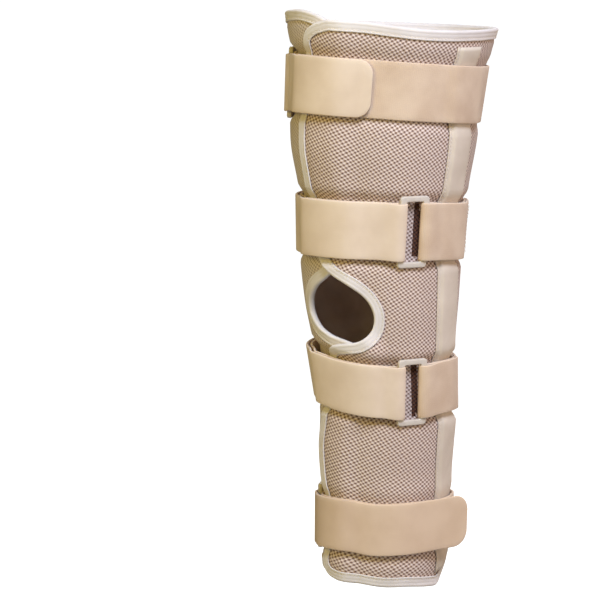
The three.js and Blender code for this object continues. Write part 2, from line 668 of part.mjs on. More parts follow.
// Both passes of a strap, its tab and the hook patch under its free end.
function strapPieces(strap) {
  const z = heightAt(read(strap.line, 'az', 'at', strap.ring));
  const { towards, laid } = freeEnd(strap);
  const ringSpan = (ringOpening / 2 + ringBar + 12) / degreeLength(z);
  const firstOff = strapThickness / 2;
  const secondOff = firstOff + strapThickness + passGap;
  const axes = ringAxes(strap);

  const firstPass = strapAzimuths(strap, strap.sewn, strap.ring - towards * ringSpan)
    .map((az) => layOn(strap, az, firstOff));
  const fold = foldRound(axes, -towards);
  const secondPass = strapAzimuths(strap, strap.ring - towards * ringSpan, laid)
    .map((az) => layOn(strap, az, secondOff));
  const last = secondPass.at(-1);
  const along = last.centre.clone().sub(layOn(strap, laid + towards, secondOff).centre).normalize();
  const end = {
    centre: last.centre.clone().addScaledVector(along, strap.loose * strap.width || endRadius),
    up: last.up,
  };
  const strapStations = [...firstPass, ...fold, ...secondPass, ...roundedEnd(end, along, strap.width)];

  const tabFold = foldRound(axes, towards);
  const tabAzimuths = strapAzimuths(strap, strap.tab, strap.ring + towards * ringSpan);
  const tabLower = tabAzimuths.map((az) => layOn(strap, az, firstOff));
  const tabUpper = tabAzimuths.map((az) => layOn(strap, az, firstOff + strapThickness + clearance * 2));
  return {
    band: ribbon(strapStations, strap.width, strapThickness),
    tab: ribbon([...tabLower, ...tabFold, ...tabUpper.reverse()], strap.width, strapThickness),
    hook: ribbon(hookPatch(strap, end, along), strap.width - 2 * hookInset, hookThickness),
    ring: ringSolid(strap, axes),
  };
}

// Hook patch on the underside of the free end, straight on a loose end and bent on a laid one.
function hookPatch(strap, end, along) {
  const { towards, laid, hook } = freeEnd(strap);
  if (strap.loose) {
    const inwards = along.clone().cross(end.up).normalize().multiplyScalar(towards);
    const off = strapThickness / 2 + clearance + hookThickness / 2;
    return [strap.loose * strap.width - hookInset, endRadius / 2].map((back) => ({
      centre: end.centre.clone().addScaledVector(along, -back).addScaledVector(inwards, off),
      up: end.up,
    }));
  }
  const height = strapThickness + passGap / 2;
  return strapAzimuths(strap, hook, laid).map((az) => layOn(strap, az, height));
}

// Flat plastic ring with one opening, its edges chamfered.
function ringSolid(strap, axes) {
  const halfWidth = ringOpening / 2 + ringBar;
  const halfOpening = ringOpening / 2;
  const openingHeight = strap.width / 2 + ringSlack;
  const halfHeight = openingHeight + ringEndBar;
  const rounded = (path, w, h, r) => {
    path.moveTo(-w + r, -h).lineTo(w - r, -h).absarc(w - r, -h + r, r, -Math.PI / 2, 0)
      .lineTo(w, h - r).absarc(w - r, h - r, r, 0, Math.PI / 2)
      .lineTo(-w + r, h).absarc(-w + r, h - r, r, Math.PI / 2, Math.PI)
      .lineTo(-w, -h + r).absarc(-w + r, -h + r, r, Math.PI, Math.PI * 1.5);
    return path;
  };
  const c = ringChamfer;
  const shape = rounded(new THREE.Shape(), halfWidth - c, halfHeight - c, 3);
  shape.holes.push(new THREE.Path([[-1, -1], [-1, 1], [1, 1], [1, -1]].map(([x, y]) =>
    new THREE.Vector2(x * (halfOpening + c), y * (openingHeight + c)))));
  const geometry = new THREE.ExtrudeGeometry(shape, {
    depth: ringThickness - 2 * c, bevelEnabled: true, bevelThickness: c, bevelSize: c,
    bevelSegments: 1, curveSegments: 2,
  });
  geometry.translate(0, 0, c - ringThickness / 2);
  const frame = new THREE.Matrix4().makeBasis(axes.round, axes.up, axes.out).setPosition(axes.middle);
  geometry.applyMatrix4(frame);
  return geometry;
}

const knee = new THREE.Group();

function add(name, geometry, color, roughness) {
  const mesh = new THREE.Mesh(geometry, new THREE.MeshStandardMaterial({ color, roughness, metalness: 0 }));
  mesh.name = name;
  knee.add(mesh);
}

const stations = wrapStations();
add('wrap_panel', wrapPanel(stations), colours.wrap, 0.95);
add('edge_binding', edgeBinding(stations), colours.binding, 0.85);
add('stay_casing', stayCasing(), colours.casing, 0.9);
straps.forEach((strap, i) => {
  const pieces = strapPieces(strap);
  add(`strap_${i + 1}`, pieces.band, colours.strap, 0.9);
  add(`ring_tab_${i + 1}`, pieces.tab, colours.strap, 0.9);
  add(`ring_${i + 1}`, pieces.ring, colours.ring, 0.45);
  add(`hook_patch_${i + 1}`, pieces.hook, colours.hook, 0.9);
});

export default knee;
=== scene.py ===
# Knee immobilizer worn on a left leg: the looks of every piece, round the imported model.
# Metres. +Z runs up the leg, -Y is the front and +X the outer side of the leg.
# Azimuths are in degrees from the front towards the outer side, heights are from the knee cap.
import math

import bmesh
import bpy
import numpy as np
from mathutils import Matrix, Vector, noise


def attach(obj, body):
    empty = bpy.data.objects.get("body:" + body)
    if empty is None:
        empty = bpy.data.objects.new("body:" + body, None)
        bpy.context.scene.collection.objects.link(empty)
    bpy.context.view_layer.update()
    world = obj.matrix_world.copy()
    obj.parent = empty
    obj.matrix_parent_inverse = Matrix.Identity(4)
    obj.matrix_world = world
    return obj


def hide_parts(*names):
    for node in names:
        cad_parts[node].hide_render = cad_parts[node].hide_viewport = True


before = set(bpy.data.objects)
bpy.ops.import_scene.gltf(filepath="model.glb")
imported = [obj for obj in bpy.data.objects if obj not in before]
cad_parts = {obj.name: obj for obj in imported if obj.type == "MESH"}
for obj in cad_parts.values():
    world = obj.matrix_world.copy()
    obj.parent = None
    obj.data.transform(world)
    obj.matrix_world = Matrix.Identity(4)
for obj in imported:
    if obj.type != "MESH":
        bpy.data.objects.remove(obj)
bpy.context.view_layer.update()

# Camera, floor and light
shot = {
    "azimuth": 35, "elevation": 8, "distance": 2.6,
    "aside": 0.0731,        # the object stands this far right of the middle of the frame
    "focalPixels": 3023, "frameWidth": 600, "sensor": 36,
    "floor": -0.52, "floorSize": 60,
    "sky": 0.15,            # light from all round, although floor and sky look white
}
lamps = {       # place to the right, towards the camera and up, then size, power and colour
    "key": ((0.25, 1.2, 1.3), 0.7, 37.4, (0.683, 0.781, 1)),
    "warmFill": ((-1.1, 1.3, 0.6), 1.0, 11.7, (1, 0.79, 0.125)),
    "rightFill": ((1.9, 0.3, 0.3), 1.2, 13.0, (1, 0.748, 0.526)),
    "behind": ((0.3, -1.8, 0.9), 1.2, 20, (1, 0.98, 0.95)),
}


def tone(red, green, blue):     # a colour as it is picked on a screen, 0 to 255
    return tuple((c / 255 / 12.92 if c <= 10 else ((c / 255 + 0.055) / 1.055) ** 2.4)
                 for c in (red, green, blue)) + (1,)


def makeShot():
    turn, rise = math.radians(shot["azimuth"]), math.radians(shot["elevation"])
    right = Vector((math.cos(turn), math.sin(turn), 0))
    towards = Vector((math.sin(turn), -math.cos(turn), 0))
    back = towards * math.cos(rise) + Vector((0, 0, math.sin(rise)))
    data = bpy.data.cameras.new("camera")
    data.sensor_width = shot["sensor"]
    data.lens = shot["focalPixels"] / shot["frameWidth"] * shot["sensor"]
    data.clip_end = 200
    camera = bpy.data.objects.new("camera", data)
    camera.location = right * -shot["aside"] + back * shot["distance"]
    camera.rotation_mode = "QUATERNION"
    camera.rotation_quaternion = back.to_track_quat("Z", "Y")
    bpy.context.scene.collection.objects.link(camera)
    bpy.context.scene.camera = camera

    for name, ((along, near, up), size, power, colour) in lamps.items():
        lamp = bpy.data.lights.new(name, "AREA")
        lamp.size, lamp.energy, lamp.color = size, power, colour
        place = bpy.data.objects.new(name, lamp)
        place.location = right * along + towards * near + Vector((0, 0, up))
        place.rotation_mode = "QUATERNION"
        place.rotation_quaternion = place.location.to_track_quat("Z", "Y")
        bpy.context.scene.collection.objects.link(place)

    world = bpy.data.worlds.new("studio")
    world.use_nodes = True
    tree = world.node_tree
    sky = tree.nodes["Background"]
    sky.inputs["Color"].default_value = (1, 1, 1, 1)
    seen = tree.nodes.new("ShaderNodeMapRange")     # from the light it gives to the white that shows
    seen.inputs["To Min"].default_value = shot["sky"]
    seen.inputs["To Max"].default_value = 1
    tree.links.new(tree.nodes.new("ShaderNodeLightPath").outputs["Is Camera Ray"], seen.inputs["Value"])
    tree.links.new(seen.outputs["Result"], sky.inputs["Strength"])
    bpy.context.scene.world = world
    bpy.context.scene.view_settings.view_transform = "Standard"
    bpy.context.scene.view_settings.look = "None"


def makeFloor():
    bm = bmesh.new()
    bmesh.ops.create_grid(bm, x_segments=1, y_segments=1, size=shot["floorSize"] / 2)
    bmesh.ops.translate(bm, vec=(0, 0, shot["floor"]), verts=bm.verts)
    mesh = bpy.data.meshes.new("floor")
    bm.to_mesh(mesh)
    bm.free()
    floor = bpy.data.objects.new("floor", mesh)
    bpy.context.scene.collection.objects.link(floor)
    paint = bpy.data.materials.new("floorPaint")
    paint.use_nodes = True
    tree = paint.node_tree
    shader = tree.nodes["Principled BSDF"]
    shader.inputs["Base Color"].default_value = (0.4, 0.4, 0.4, 1)
    shader.inputs["Roughness"].default_value = 0.9
    shader.inputs["Specular IOR Level"].default_value = 0.1
    shader.inputs["Emission Color"].default_value = (1, 1, 1, 1)
    tree.links.new(tree.nodes.new("ShaderNodeLightPath").outputs["Is Camera Ray"],
                   shader.inputs["Emission Strength"])
    mesh.materials.append(paint)


makeShot()
makeFloor()
print("shot and floor made")

# Form of the worn wrap. Rows of the tables are read on smooth curves, as the solids are.
wrap = {
    "length": 0.490, "kneeShare": 0.49, "width": 0.176, "depth": 0.195, "wall": 0.004,
    "lapGap": 0.0016, "lapSlope": 18,       # under the outer flap, degrees over which it comes down
    "tape": 0.009, "tongue": 0.0011,        # width of the binding, half thickness inside it
    "grainAzimuth": 169, "cone": 0.0852, "apex": 0.790,     # how the flat cloth is cut and turned
    "wrinkle": 0.00045,
    "pressMargin": -0.001, "pressReach": 0.011,     # beyond a strap's edges, where the cloth comes back
    "ringReach": 60, "backFade": 30,        # degrees over which the presses fade
    "edgePoints": 260,
}
sections = [    # share of the length, girth, side, back
    (0.000, 0.562, -0.008, 0.011), (0.035, 0.590, -0.005, 0.011), (0.085, 0.572, -0.001, 0.015),
    (0.145, 0.588, 0.000, 0.020), (0.190, 0.608, -0.010, 0.023), (0.243, 0.629, -0.007, 0.023),
    (0.294, 0.639, 0.002, 0.023), (0.418, 0.674, -0.003, 0.000), (0.490, 0.726, -0.010, -0.011),
    (0.569, 0.764, -0.014, -0.014), (0.684, 0.794, 0.002, -0.020), (0.763, 0.867, 0.004, -0.023),
    (0.816, 0.891, 0.013, -0.023), (0.867, 0.910, 0.026, -0.023), (0.922, 0.927, 0.046, -0.023),
    (0.969, 0.982, 0.055, -0.023), (1.000, 1.000, 0.056, -0.023),
]
topEdge = [     # azimuth, share of the length
    (-20, 0.9910), (0, 0.9900), (20, 0.9865), (36, 0.9800), (54, 0.9730), (75, 0.9695), (107, 0.9680),
    (180, 0.9655), (240, 0.9716), (270, 0.9800), (300, 0.9930), (325, 1.0020), (340, 1.0035),
    (352, 0.9970), (366, 0.9860),
]
bottomEdge = [
    (-30, 0.0124), (-9, 0.0071), (13, 0.0033), (35, -0.0018), (60, -0.0039), (85, -0.0100),
    (98, -0.0120), (106, -0.0040), (113, 0.0110), (121, 0.0250), (134, 0.0288), (180, 0.0247),
    (250, 0.0206), (300, 0.0165), (330, 0.0124), (352, 0.0104),
]
outerFlapEdge = [
    (1, 0.9898), (-9, 0.9800), (-15.5, 0.9635), (-17.5, 0.9430), (-18.5, 0.8980), (-20.5, 0.8165),
    (-20.8, 0.7350), (-20, 0.6530), (-16, 0.5930), (-9, 0.5737), (1, 0.5530), (15, 0.5320),
    (25.5, 0.5080), (30, 0.4820), (27.5, 0.4550), (18, 0.4370), (5, 0.4312), (-4, 0.4270),
    (-11, 0.4165), (-14.5, 0.3980), (-18, 0.3635), (-26, 0.3060), (-30, 0.2550), (-30, 0.1840),
    (-29, 0.1125), (-28, 0.0510), (-26, 0.0288), (-20, 0.0140), (-9, 0.0071),
]
underFlapEdge = [
    (352, 0.9970), (359, 0.9860), (362, 0.9660), (362, 0.8980), (360, 0.8165), (360, 0.6940),
    (365, 0.6165), (367, 0.5840), (363, 0.5635), (352, 0.5430), (340, 0.5250), (330, 0.5000),
    (328.5, 0.4780), (336, 0.4570), (350, 0.4430), (366, 0.4345), (375, 0.4260), (379, 0.4100),
    (378, 0.3880), (371, 0.3500), (358, 0.3060), (352, 0.2550), (352, 0.0660), (350, 0.0400),
    (344, 0.0200), (333, 0.0120),
]
lapEnd = [      # share of the length, azimuth where the outer flap starts to come down
    (0.000, -4), (0.255, -4), (0.306, 2), (0.3635, 18), (0.404, 24), (0.424, 23), (0.450, 16),
    (0.490, 10), (0.551, 11), (0.584, 11), (0.6165, 8), (0.694, 4), (1.000, 5),
]
casingLine = [  # share of the length, azimuth
    (0.000, 110), (0.190, 103), (0.490, 94.5), (0.694, 91), (0.816, 90), (1.000, 85),
]
# Straps, from the top: width, azimuths of the ring, the sewn end, the free end and the tab's end,
# the ring's lean, how deep the strap presses the wrap in and how much deeper its ring does, the
# length of a loose end, how far the upper and lower edges stand off, and the middle line.
strapRows = [
    {"width": 0.049, "ring": -64, "sewn": 150, "free": 27, "tab": -140, "lean": 0,
     "press": 0.0024, "bite": 0.0045, "loose": 0, "flare": (0, 0),
     "line": [(-150, 0.872), (-64, 0.874), (-17, 0.8790), (20, 0.8745), (57, 0.8660), (101, 0.8555),
              (150, 0.850)]},
    {"width": 0.049, "ring": 57, "sewn": -150, "free": -98, "tab": 140, "lean": 0,
     "press": 0.0044, "bite": 0.0005, "loose": 0, "flare": (0, 0),
     "line": [(-150, 0.626), (-60, 0.6300), (-12, 0.6325), (15, 0.6316), (56, 0.6270), (80, 0.6235),
              (102, 0.6190), (150, 0.616)]},
    {"width": 0.0455, "ring": 57, "sewn": -150, "free": -100, "tab": 140, "lean": 3,
     "press": 0.0055, "bite": 0, "loose": 0, "flare": (0.0045, 0.0022),
     "line": [(-150, 0.380), (-70, 0.371), (-22, 0.3640), (0, 0.3560), (28, 0.3490), (56, 0.3450),
              (87, 0.3475), (150, 0.344)]},
    {"width": 0.0445, "ring": -62, "sewn": 150, "free": 60, "tab": -140, "lean": 0,
     "press": 0.0016, "bite": 0.0009, "loose": 0.052, "flare": (0, 0),
     "line": [(-150, 0.108), (-62, 0.106), (0, 0.1095), (23, 0.1030), (57, 0.1030), (101, 0.1020),
              (150, 0.104)]},
]
lapHeight = wrap["wall"] + wrap["lapGap"]
clothMap = "flatCloth"      # name of every piece's own map, in metres of cloth


def readRows(rows, column, place):
    table = np.array(rows, dtype=float)
    key, value = table[:, 0], table[:, column]
    last = len(key) - 1
    low, high = np.maximum(np.arange(last + 1) - 1, 0), np.minimum(np.arange(last + 1) + 1, last)
    gap = key[high] - key[low]
    slope = np.divide(value[high] - value[low], gap, out=np.zeros(last + 1), where=gap != 0)
    place = np.asarray(place, dtype=float)
    after = np.clip(np.searchsorted(key, place), 1, last)
    span = key[after] - key[after - 1]
    t = np.clip((place - key[after - 1]) / span, 0, 1)
    return (value[after - 1] * (2 * t**3 - 3 * t**2 + 1) + slope[after - 1] * span * (t**3 - 2 * t**2 + t)
            + value[after] * (3 * t**2 - 2 * t**3) + slope[after] * span * (t**3 - t**2))


def smooth(t):
    t = np.clip(t, 0, 1)
    return t * t * (3 - 2 * t)


def heightAt(share):
    return (share - wrap["kneeShare"]) * wrap["length"]


def shareAt(z):
    return z / wrap["length"] + wrap["kneeShare"]


def pressed(az, z):             # how deep the straps press the wrap in
    around = np.where(np.asarray(az) > 180, az - 360, az)
    front = smooth((180 - np.abs(around)) / wrap["backFade"])
    depth = 0
    for strap in strapRows:
        ends = (strap["line"][0][1] + strap["line"][-1][1]) / 2
        middle = heightAt(ends + (readRows(strap["line"], 1, around) - ends) * front)
        beyond = np.abs(z - middle) - strap["width"] / 2 - wrap["pressMargin"]
        bite = strap["bite"] * (1 - smooth(np.abs(around - strap["ring"]) / wrap["ringReach"]))
        depth = depth + (strap["press"] + bite) * (1 - smooth(beyond / wrap["pressReach"]))
    return depth * front


def onBody(az, z, off):         # a point at a height off the single layer's outer face
    off = off - pressed(az, z)
    at = shareAt(z)
    girth, turn = readRows(sections, 1, at), np.radians(az)
    x = wrap["width"] * readRows(sections, 2, at) + (wrap["width"] / 2 * girth + off) * np.sin(turn)
    y = wrap["width"] * readRows(sections, 3, at) - (wrap["depth"] / 2 * girth + off) * np.cos(turn)
    return np.stack([x, y, z + 0 * x], axis=-1)


def degreeLength(z):            # metres along the wrap for a degree of azimuth
    return np.radians((wrap["width"] + wrap["depth"]) / 4 * readRows(sections, 1, shareAt(z)))


def layerLift(az, z):           # the outer flap is lifted by the under flap
    past = (az - readRows(lapEnd, 1, shareAt(z))) / wrap["lapSlope"]
    return np.where(az < 180, lapHeight * (1 - smooth(past)), 0)


def topAt(az):
    return heightAt(readRows(topEdge, 1, az))


def bottomAt(az):
    return heightAt(readRows(bottomEdge, 1, az))


def curveThrough(rows, perSpan=10):     # centripetal curve through a flap's rows
    points = np.array([(az, heightAt(at) * 1000) for az, at in rows])
    points = np.vstack([2 * points[0] - points[1], points, 2 * points[-1] - points[-2]])
    found = []
    for i in range(1, len(points) - 2):
        p0, p1, p2, p3 = points[i - 1:i + 3]
        d0, d1, d2 = (math.sqrt(np.linalg.norm(b - a)) for a, b in ((p0, p1), (p1, p2), (p2, p3)))
        m1 = ((p1 - p0) / d0 - (p2 - p0) / (d0 + d1) + (p2 - p1) / d1) * d1
        m2 = ((p2 - p1) / d1 - (p3 - p1) / (d1 + d2) + (p3 - p2) / d2) * d1
        for t in np.arange(perSpan) / perSpan:
            found.append(p1 * (2 * t**3 - 3 * t**2 + 1) + m1 * (t**3 - 2 * t**2 + t)
                         + p2 * (3 * t**2 - 2 * t**3) + m2 * (t**3 - t**2))
    found.append(points[-2])
    return np.array(found) / (1, 1000)


def wrapOutline(step):          # even stations round the whole edge, with the way inwards
    outer, under = curveThrough(outerFlapEdge), curveThrough(underFlapEdge)
    over = np.linspace(outer[0, 0], under[0, 0], wrap["edgePoints"])[1:-1]
    below = np.linspace(under[-1, 0], outer[-1, 0], wrap["edgePoints"])[1:-1]
    loop = np.vstack([
        np.stack([over, topAt(over)], axis=1), under,
        np.stack([below, bottomAt(below)], axis=1), outer[::-1],
    ])
    closed = np.vstack([loop, loop[:1]])
    scale = degreeLength(closed[:, 1])
    pace = np.diff(closed, axis=0) * np.stack([(scale[1:] + scale[:-1]) / 2, np.ones(len(loop))], axis=1)
    run = np.concatenate([[0], np.cumsum(np.linalg.norm(pace, axis=1))])
    places = np.linspace(0, run[-1], round(run[-1] / step) + 1)[:-1]
    az, z = (np.interp(places, run, closed[:, k]) for k in (0, 1))
    scale = degreeLength(z)
    along = np.stack([(np.roll(az, -1) - np.roll(az, 1)) * scale, np.roll(z, -1) - np.roll(z, 1)], axis=1)
    along /= np.linalg.norm(along, axis=1)[:, None]
    inward = np.stack([along[:, 1] / scale, -along[:, 0]], axis=1)
    return {"az": az, "z": z, "inward": inward, "run": places, "whole": run[-1]}


def wrinkle(points, amount, size, seed):    # soft unevenness of the cloth
    return np.array([amount * noise.noise(Vector(p) / size + Vector((seed, 0, 0))) for p in points])


# Makers of meshes
def finishObject(name, bm, materials):
    mesh = bpy.data.meshes.new(name)
    bm.to_mesh(mesh)
    bm.free()
    for material in materials:
        mesh.materials.append(material)
    mesh.polygons.foreach_set("use_smooth", [True] * len(mesh.polygons))
    thing = bpy.data.objects.new(name, mesh)
    bpy.context.scene.collection.objects.link(thing)
    return thing


def dress(thing, slot, *nodes):
    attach(thing, "root")
    if nodes:
        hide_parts(*nodes)


# A grid laid on an array of places, with its flat measures as its own map.
def loft(places, flat, aroundClosed=False, alongClosed=False, capped=False, materialOf=None):
    rows, columns = places.shape[:2]
    bm = bmesh.new()
    flatMap = bm.loops.layers.uv.new(clothMap)
    bmesh.ops.create_grid(bm, x_segments=rows - 1, y_segments=columns - 1, size=0.5)
    spots = {}
    for vert in bm.verts:
        spots[vert] = (round((vert.co.x + 0.5) * (rows - 1)), round((vert.co.y + 0.5) * (columns - 1)))
    for face in bm.faces:
        for loop in face.loops:
            loop[flatMap].uv = flat[spots[loop.vert]]
        if materialOf:
            middle = sum(spots[vert][1] for vert in face.verts) / 4
            face.material_index = materialOf(middle / (columns - 1))
    for vert, spot in spots.items():
        vert.co = places[spot]
    if aroundClosed or alongClosed:
        bmesh.ops.remove_doubles(bm, verts=bm.verts, dist=1e-6)
    if capped:
        rims = [edge for edge in bm.edges if edge.is_boundary]
        bmesh.ops.holes_fill(bm, edges=rims, sides=0)
    bmesh.ops.recalc_face_normals(bm, faces=bm.faces)
    return bm


# Stitches: short rods of thread lying on a seam. Each row of points has the way that faces out.
def stitchRow(bm, points, outward, sizes, sink=0.35):
    points, outward = np.asarray(points), np.asarray(outward)
    pitch, length, radius = sizes["stitchPitch"], sizes["stitchLength"], sizes["threadRadius"]
    gaps = np.linalg.norm(np.diff(points, axis=0), axis=1)
    run = np.concatenate([[0], np.cumsum(gaps)])
    for start in np.arange(pitch / 2, run[-1] - length, pitch):
        ends = [Vector([np.interp(start + d, run, points[:, k]) for k in range(3)]) for d in (0, length)]
        out = Vector([np.interp(start, run, outward[:, k]) for k in range(3)]).normalized()
        along = (ends[1] - ends[0]).normalized()
        side = out.cross(along).normalized()
        out = along.cross(side)
        turn = Matrix((side, out, along)).transposed().to_4x4()
        middle = (ends[0] + ends[1]) / 2 + out * radius * (1 - 2 * sink)
        bmesh.ops.create_cone(bm, cap_ends=True, segments=6, radius1=radius, radius2=radius * 0.8,
                              depth=length, matrix=Matrix.Translation(middle) @ turn)


# Node groups
def makeGroup(name, inputs, outputs):
    group = bpy.data.node_groups.new(name, "ShaderNodeTree")
    for label, kind, value in inputs:
        socket = group.interface.new_socket(name=label, in_out="INPUT", socket_type="NodeSocket" + kind)
        socket.default_value = value
    for label, kind in outputs:
        group.interface.new_socket(name=label, in_out="OUTPUT", socket_type="NodeSocket" + kind)
    return group, group.nodes.new("NodeGroupInput").outputs, group.nodes.new("NodeGroupOutput").inputs


def calc(tree, operation, *values, clamp=False):
    node = tree.nodes.new("ShaderNodeMath")
    node.operation = operation
    node.use_clamp = clamp
    for socket, value in zip(node.inputs, values):
        plug(tree, socket, value)
    return node.outputs[0]


def plug(tree, socket, value):
    if isinstance(value, bpy.types.NodeSocket):
        tree.links.new(value, socket)
    else:
        socket.default_value = value


def span(tree, value, low, high, start=0.0, end=1.0):
    node = tree.nodes.new("ShaderNodeMapRange")
    node.interpolation_type = "SMOOTHSTEP"
    for socket, given in zip(node.inputs, (value, low, high, start, end)):
        plug(tree, socket, given)
    return node.outputs[0]


def blendColour(tree, share, first, second):
    node = tree.nodes.new("ShaderNodeMix")
    node.data_type = "RGBA"
    plug(tree, node.inputs[0], share)
    plug(tree, node.inputs[6], first)
    plug(tree, node.inputs[7], second)
    return node.outputs[2]


def speckle(tree, vector, scale, detail=2.0):
    node = tree.nodes.new("ShaderNodeTexNoise")
    plug(tree, node.inputs["Vector"], vector)
    node.inputs["Scale"].default_value = scale
    node.inputs["Detail"].default_value = detail
    return node.outputs["Fac"]


# Open net of the wrap: holes on a centred lattice, with raised yarns between them. The yarns are drawn
# lighter on their crowns and darker down towards the holes, and the holes dark: painted shade. The Shade
# colour also gives the cloth's own uneven tone in twists and patches.
def makeNetGroup():
    tree, given, result = makeGroup("openNet", [
        ("Cloth", "Vector", (0, 0, 0)), ("Cell Width", "Float", 0.0045), ("Cell Height", "Float", 0.00355),
        ("Waver", "Float", 0.0011), ("Hole Size", "Float", 0.30), ("Hole Edge", "Float", 0.38),
        ("Yarn", "Color", tone(244, 225, 212)), ("Shade", "Color", tone(190, 164, 149)),
        ("Hole", "Color", tone(128, 99, 85)),
    ], [("Color", "Color"), ("Height", "Float")])
    cloth = tree.nodes.new("ShaderNodeSeparateXYZ")
    plug(tree, cloth.inputs[0], given["Cloth"])
    stray = calc(tree, "SUBTRACT", speckle(tree, given["Cloth"], 160, 1.0), 0.5)
    waver = calc(tree, "MULTIPLY", stray, given["Waver"])
    waves = []
    for axis, size in ((0, "Cell Width"), (1, "Cell Height")):
        place = calc(tree, "ADD", cloth.outputs[axis], waver)
        turn = calc(tree, "MULTIPLY", calc(tree, "DIVIDE", place, given[size]), 2 * math.pi)
        waves.append(calc(tree, "COSINE", turn))
    lattice = calc(tree, "MULTIPLY", *waves)
    full = calc(tree, "ADD", given["Hole Size"], given["Hole Edge"])
    opening = span(tree, lattice, given["Hole Size"], full)
    crown = span(tree, lattice, 0.25, -0.85)
    twist = speckle(tree, given["Cloth"], 2600, 1.0)
    # painted shade: the yarn's colour darkens from its crown down towards the holes
    yarn = blendColour(tree, crown, given["Shade"], given["Yarn"])
    yarn = blendColour(tree, calc(tree, "MULTIPLY", twist, 0.22), yarn, given["Shade"])
    patchy = span(tree, speckle(tree, given["Cloth"], 22, 3.0), 0.35, 0.7, 0.0, 0.16)
    yarn = blendColour(tree, patchy, yarn, given["Shade"])
    # the holes are drawn in the dark Hole colour, painted shade inside them
    plug(tree, result["Color"], blendColour(tree, opening, yarn, given["Hole"]))
    relief = calc(tree, "SUBTRACT", calc(tree, "MULTIPLY", crown, 0.6), opening)
    plug(tree, result["Height"], calc(tree, "ADD", relief, calc(tree, "MULTIPLY", twist, 0.12)))
    return tree


# Woven or knitted narrow cloth: ribs across its length, crossed by finer yarns, with fuzz. Its colour is
# darker where the cloth lies low between ribs and yarns, painted shade, and in broad patches of its own
# uneven tone.
def makeWeaveGroup():
    tree, given, result = makeGroup("narrowWeave", [
        ("Cloth", "Vector", (0, 0, 0)), ("Rib Pitch", "Float", 0.0009), ("Yarn Pitch", "Float", 0.0007),
        ("Fuzz", "Float", 0.5), ("Light", "Color", (1, 1, 1, 1)), ("Dark", "Color", (0.5, 0.5, 0.5, 1)),
        ("Depth", "Float", 0.4),
    ], [("Color", "Color"), ("Height", "Float")])
    cloth = tree.nodes.new("ShaderNodeSeparateXYZ")
    plug(tree, cloth.inputs[0], given["Cloth"])
    waves = []
    for axis, size in ((0, "Rib Pitch"), (1, "Yarn Pitch")):
        turn = calc(tree, "MULTIPLY", calc(tree, "DIVIDE", cloth.outputs[axis], given[size]), 2 * math.pi)
        waves.append(calc(tree, "MULTIPLY_ADD", calc(tree, "COSINE", turn), 0.5, 0.5))
    ribs = calc(tree, "MULTIPLY", waves[0], calc(tree, "MULTIPLY_ADD", waves[1], 0.5, 0.5))
    pile = speckle(tree, given["Cloth"], 1500, 3.0)
    height = calc(tree, "ADD", calc(tree, "MULTIPLY", ribs, calc(tree, "SUBTRACT", 1.0, given["Fuzz"])),
                  calc(tree, "MULTIPLY", pile, given["Fuzz"]))
    broad = span(tree, speckle(tree, given["Cloth"], 30, 3.0), 0.3, 0.75, 0.0, 0.35)
    # painted shade in the low parts of the weave
    paintedShade = calc(tree, "MULTIPLY", calc(tree, "SUBTRACT", 1.0, height), given["Depth"])
    colour = blendColour(tree, calc(tree, "ADD", paintedShade, broad, clamp=True), given["Light"], given["Dark"])
    plug(tree, result["Color"], colour)
    plug(tree, result["Height"], height)
    return tree


# Fine grain and scuffs of moulded plastic.
def makeGrainGroup():
    tree, given, result = makeGroup("mouldedGrain", [
        ("Place", "Vector", (0, 0, 0)), ("Clean", "Color", (1, 1, 1, 1)),
        ("Scuffed", "Color", (0.7, 0.7, 0.7, 1)),
    ], [("Color", "Color"), ("Height", "Float"), ("Roughness", "Float")])
    grain = speckle(tree, given["Place"], 1800, 2.0)
    scuff = span(tree, speckle(tree, given["Place"], 140, 4.0), 0.5, 0.75)
    worn = calc(tree, "MULTIPLY", scuff, 0.5)
    plug(tree, result["Color"], blendColour(tree, worn, given["Clean"], given["Scuffed"]))
    plug(tree, result["Height"], grain)
    plug(tree, result["Roughness"], span(tree, scuff, 0.0, 1.0, 0.38, 0.56))
    return tree


openNet, narrowWeave, mouldedGrain = makeNetGroup(), makeWeaveGroup(), makeGrainGroup()


# A material around one group: its values, the bump it feeds and the shader's own finish.
def makeMaterial(name, group, values, bump, finish, onCloth=True):
    material = bpy.data.materials.new(name)
    material.use_nodes = True
    tree = material.node_tree
    shader = tree.nodes["Principled BSDF"]
    for label, value in finish.items():
        shader.inputs[label].default_value = value
    effect = tree.nodes.new("ShaderNodeGroup")
    effect.node_tree = group
    if onCloth:
        source = tree.nodes.new("ShaderNodeUVMap")
        source.uv_map = clothMap
        tree.links.new(source.outputs[0], effect.inputs[0])
    else:
        source = tree.nodes.new("ShaderNodeTexCoord")
        tree.links.new(source.outputs["Object"], effect.inputs[0])
    for label, value in values.items():
        effect.inputs[label].default_value = value
    tree.links.new(effect.outputs["Color"], shader.inputs["Base Color"])
    if "Roughness" in effect.outputs:
        tree.links.new(effect.outputs["Roughness"], shader.inputs["Roughness"])
    relief = tree.nodes.new("ShaderNodeBump")
    relief.inputs["Strength"].default_value = 1.0
    relief.inputs["Distance"].default_value = bump
    tree.links.new(effect.outputs["Height"], relief.inputs["Height"])
    tree.links.new(relief.outputs[0], shader.inputs["Normal"])
    return material


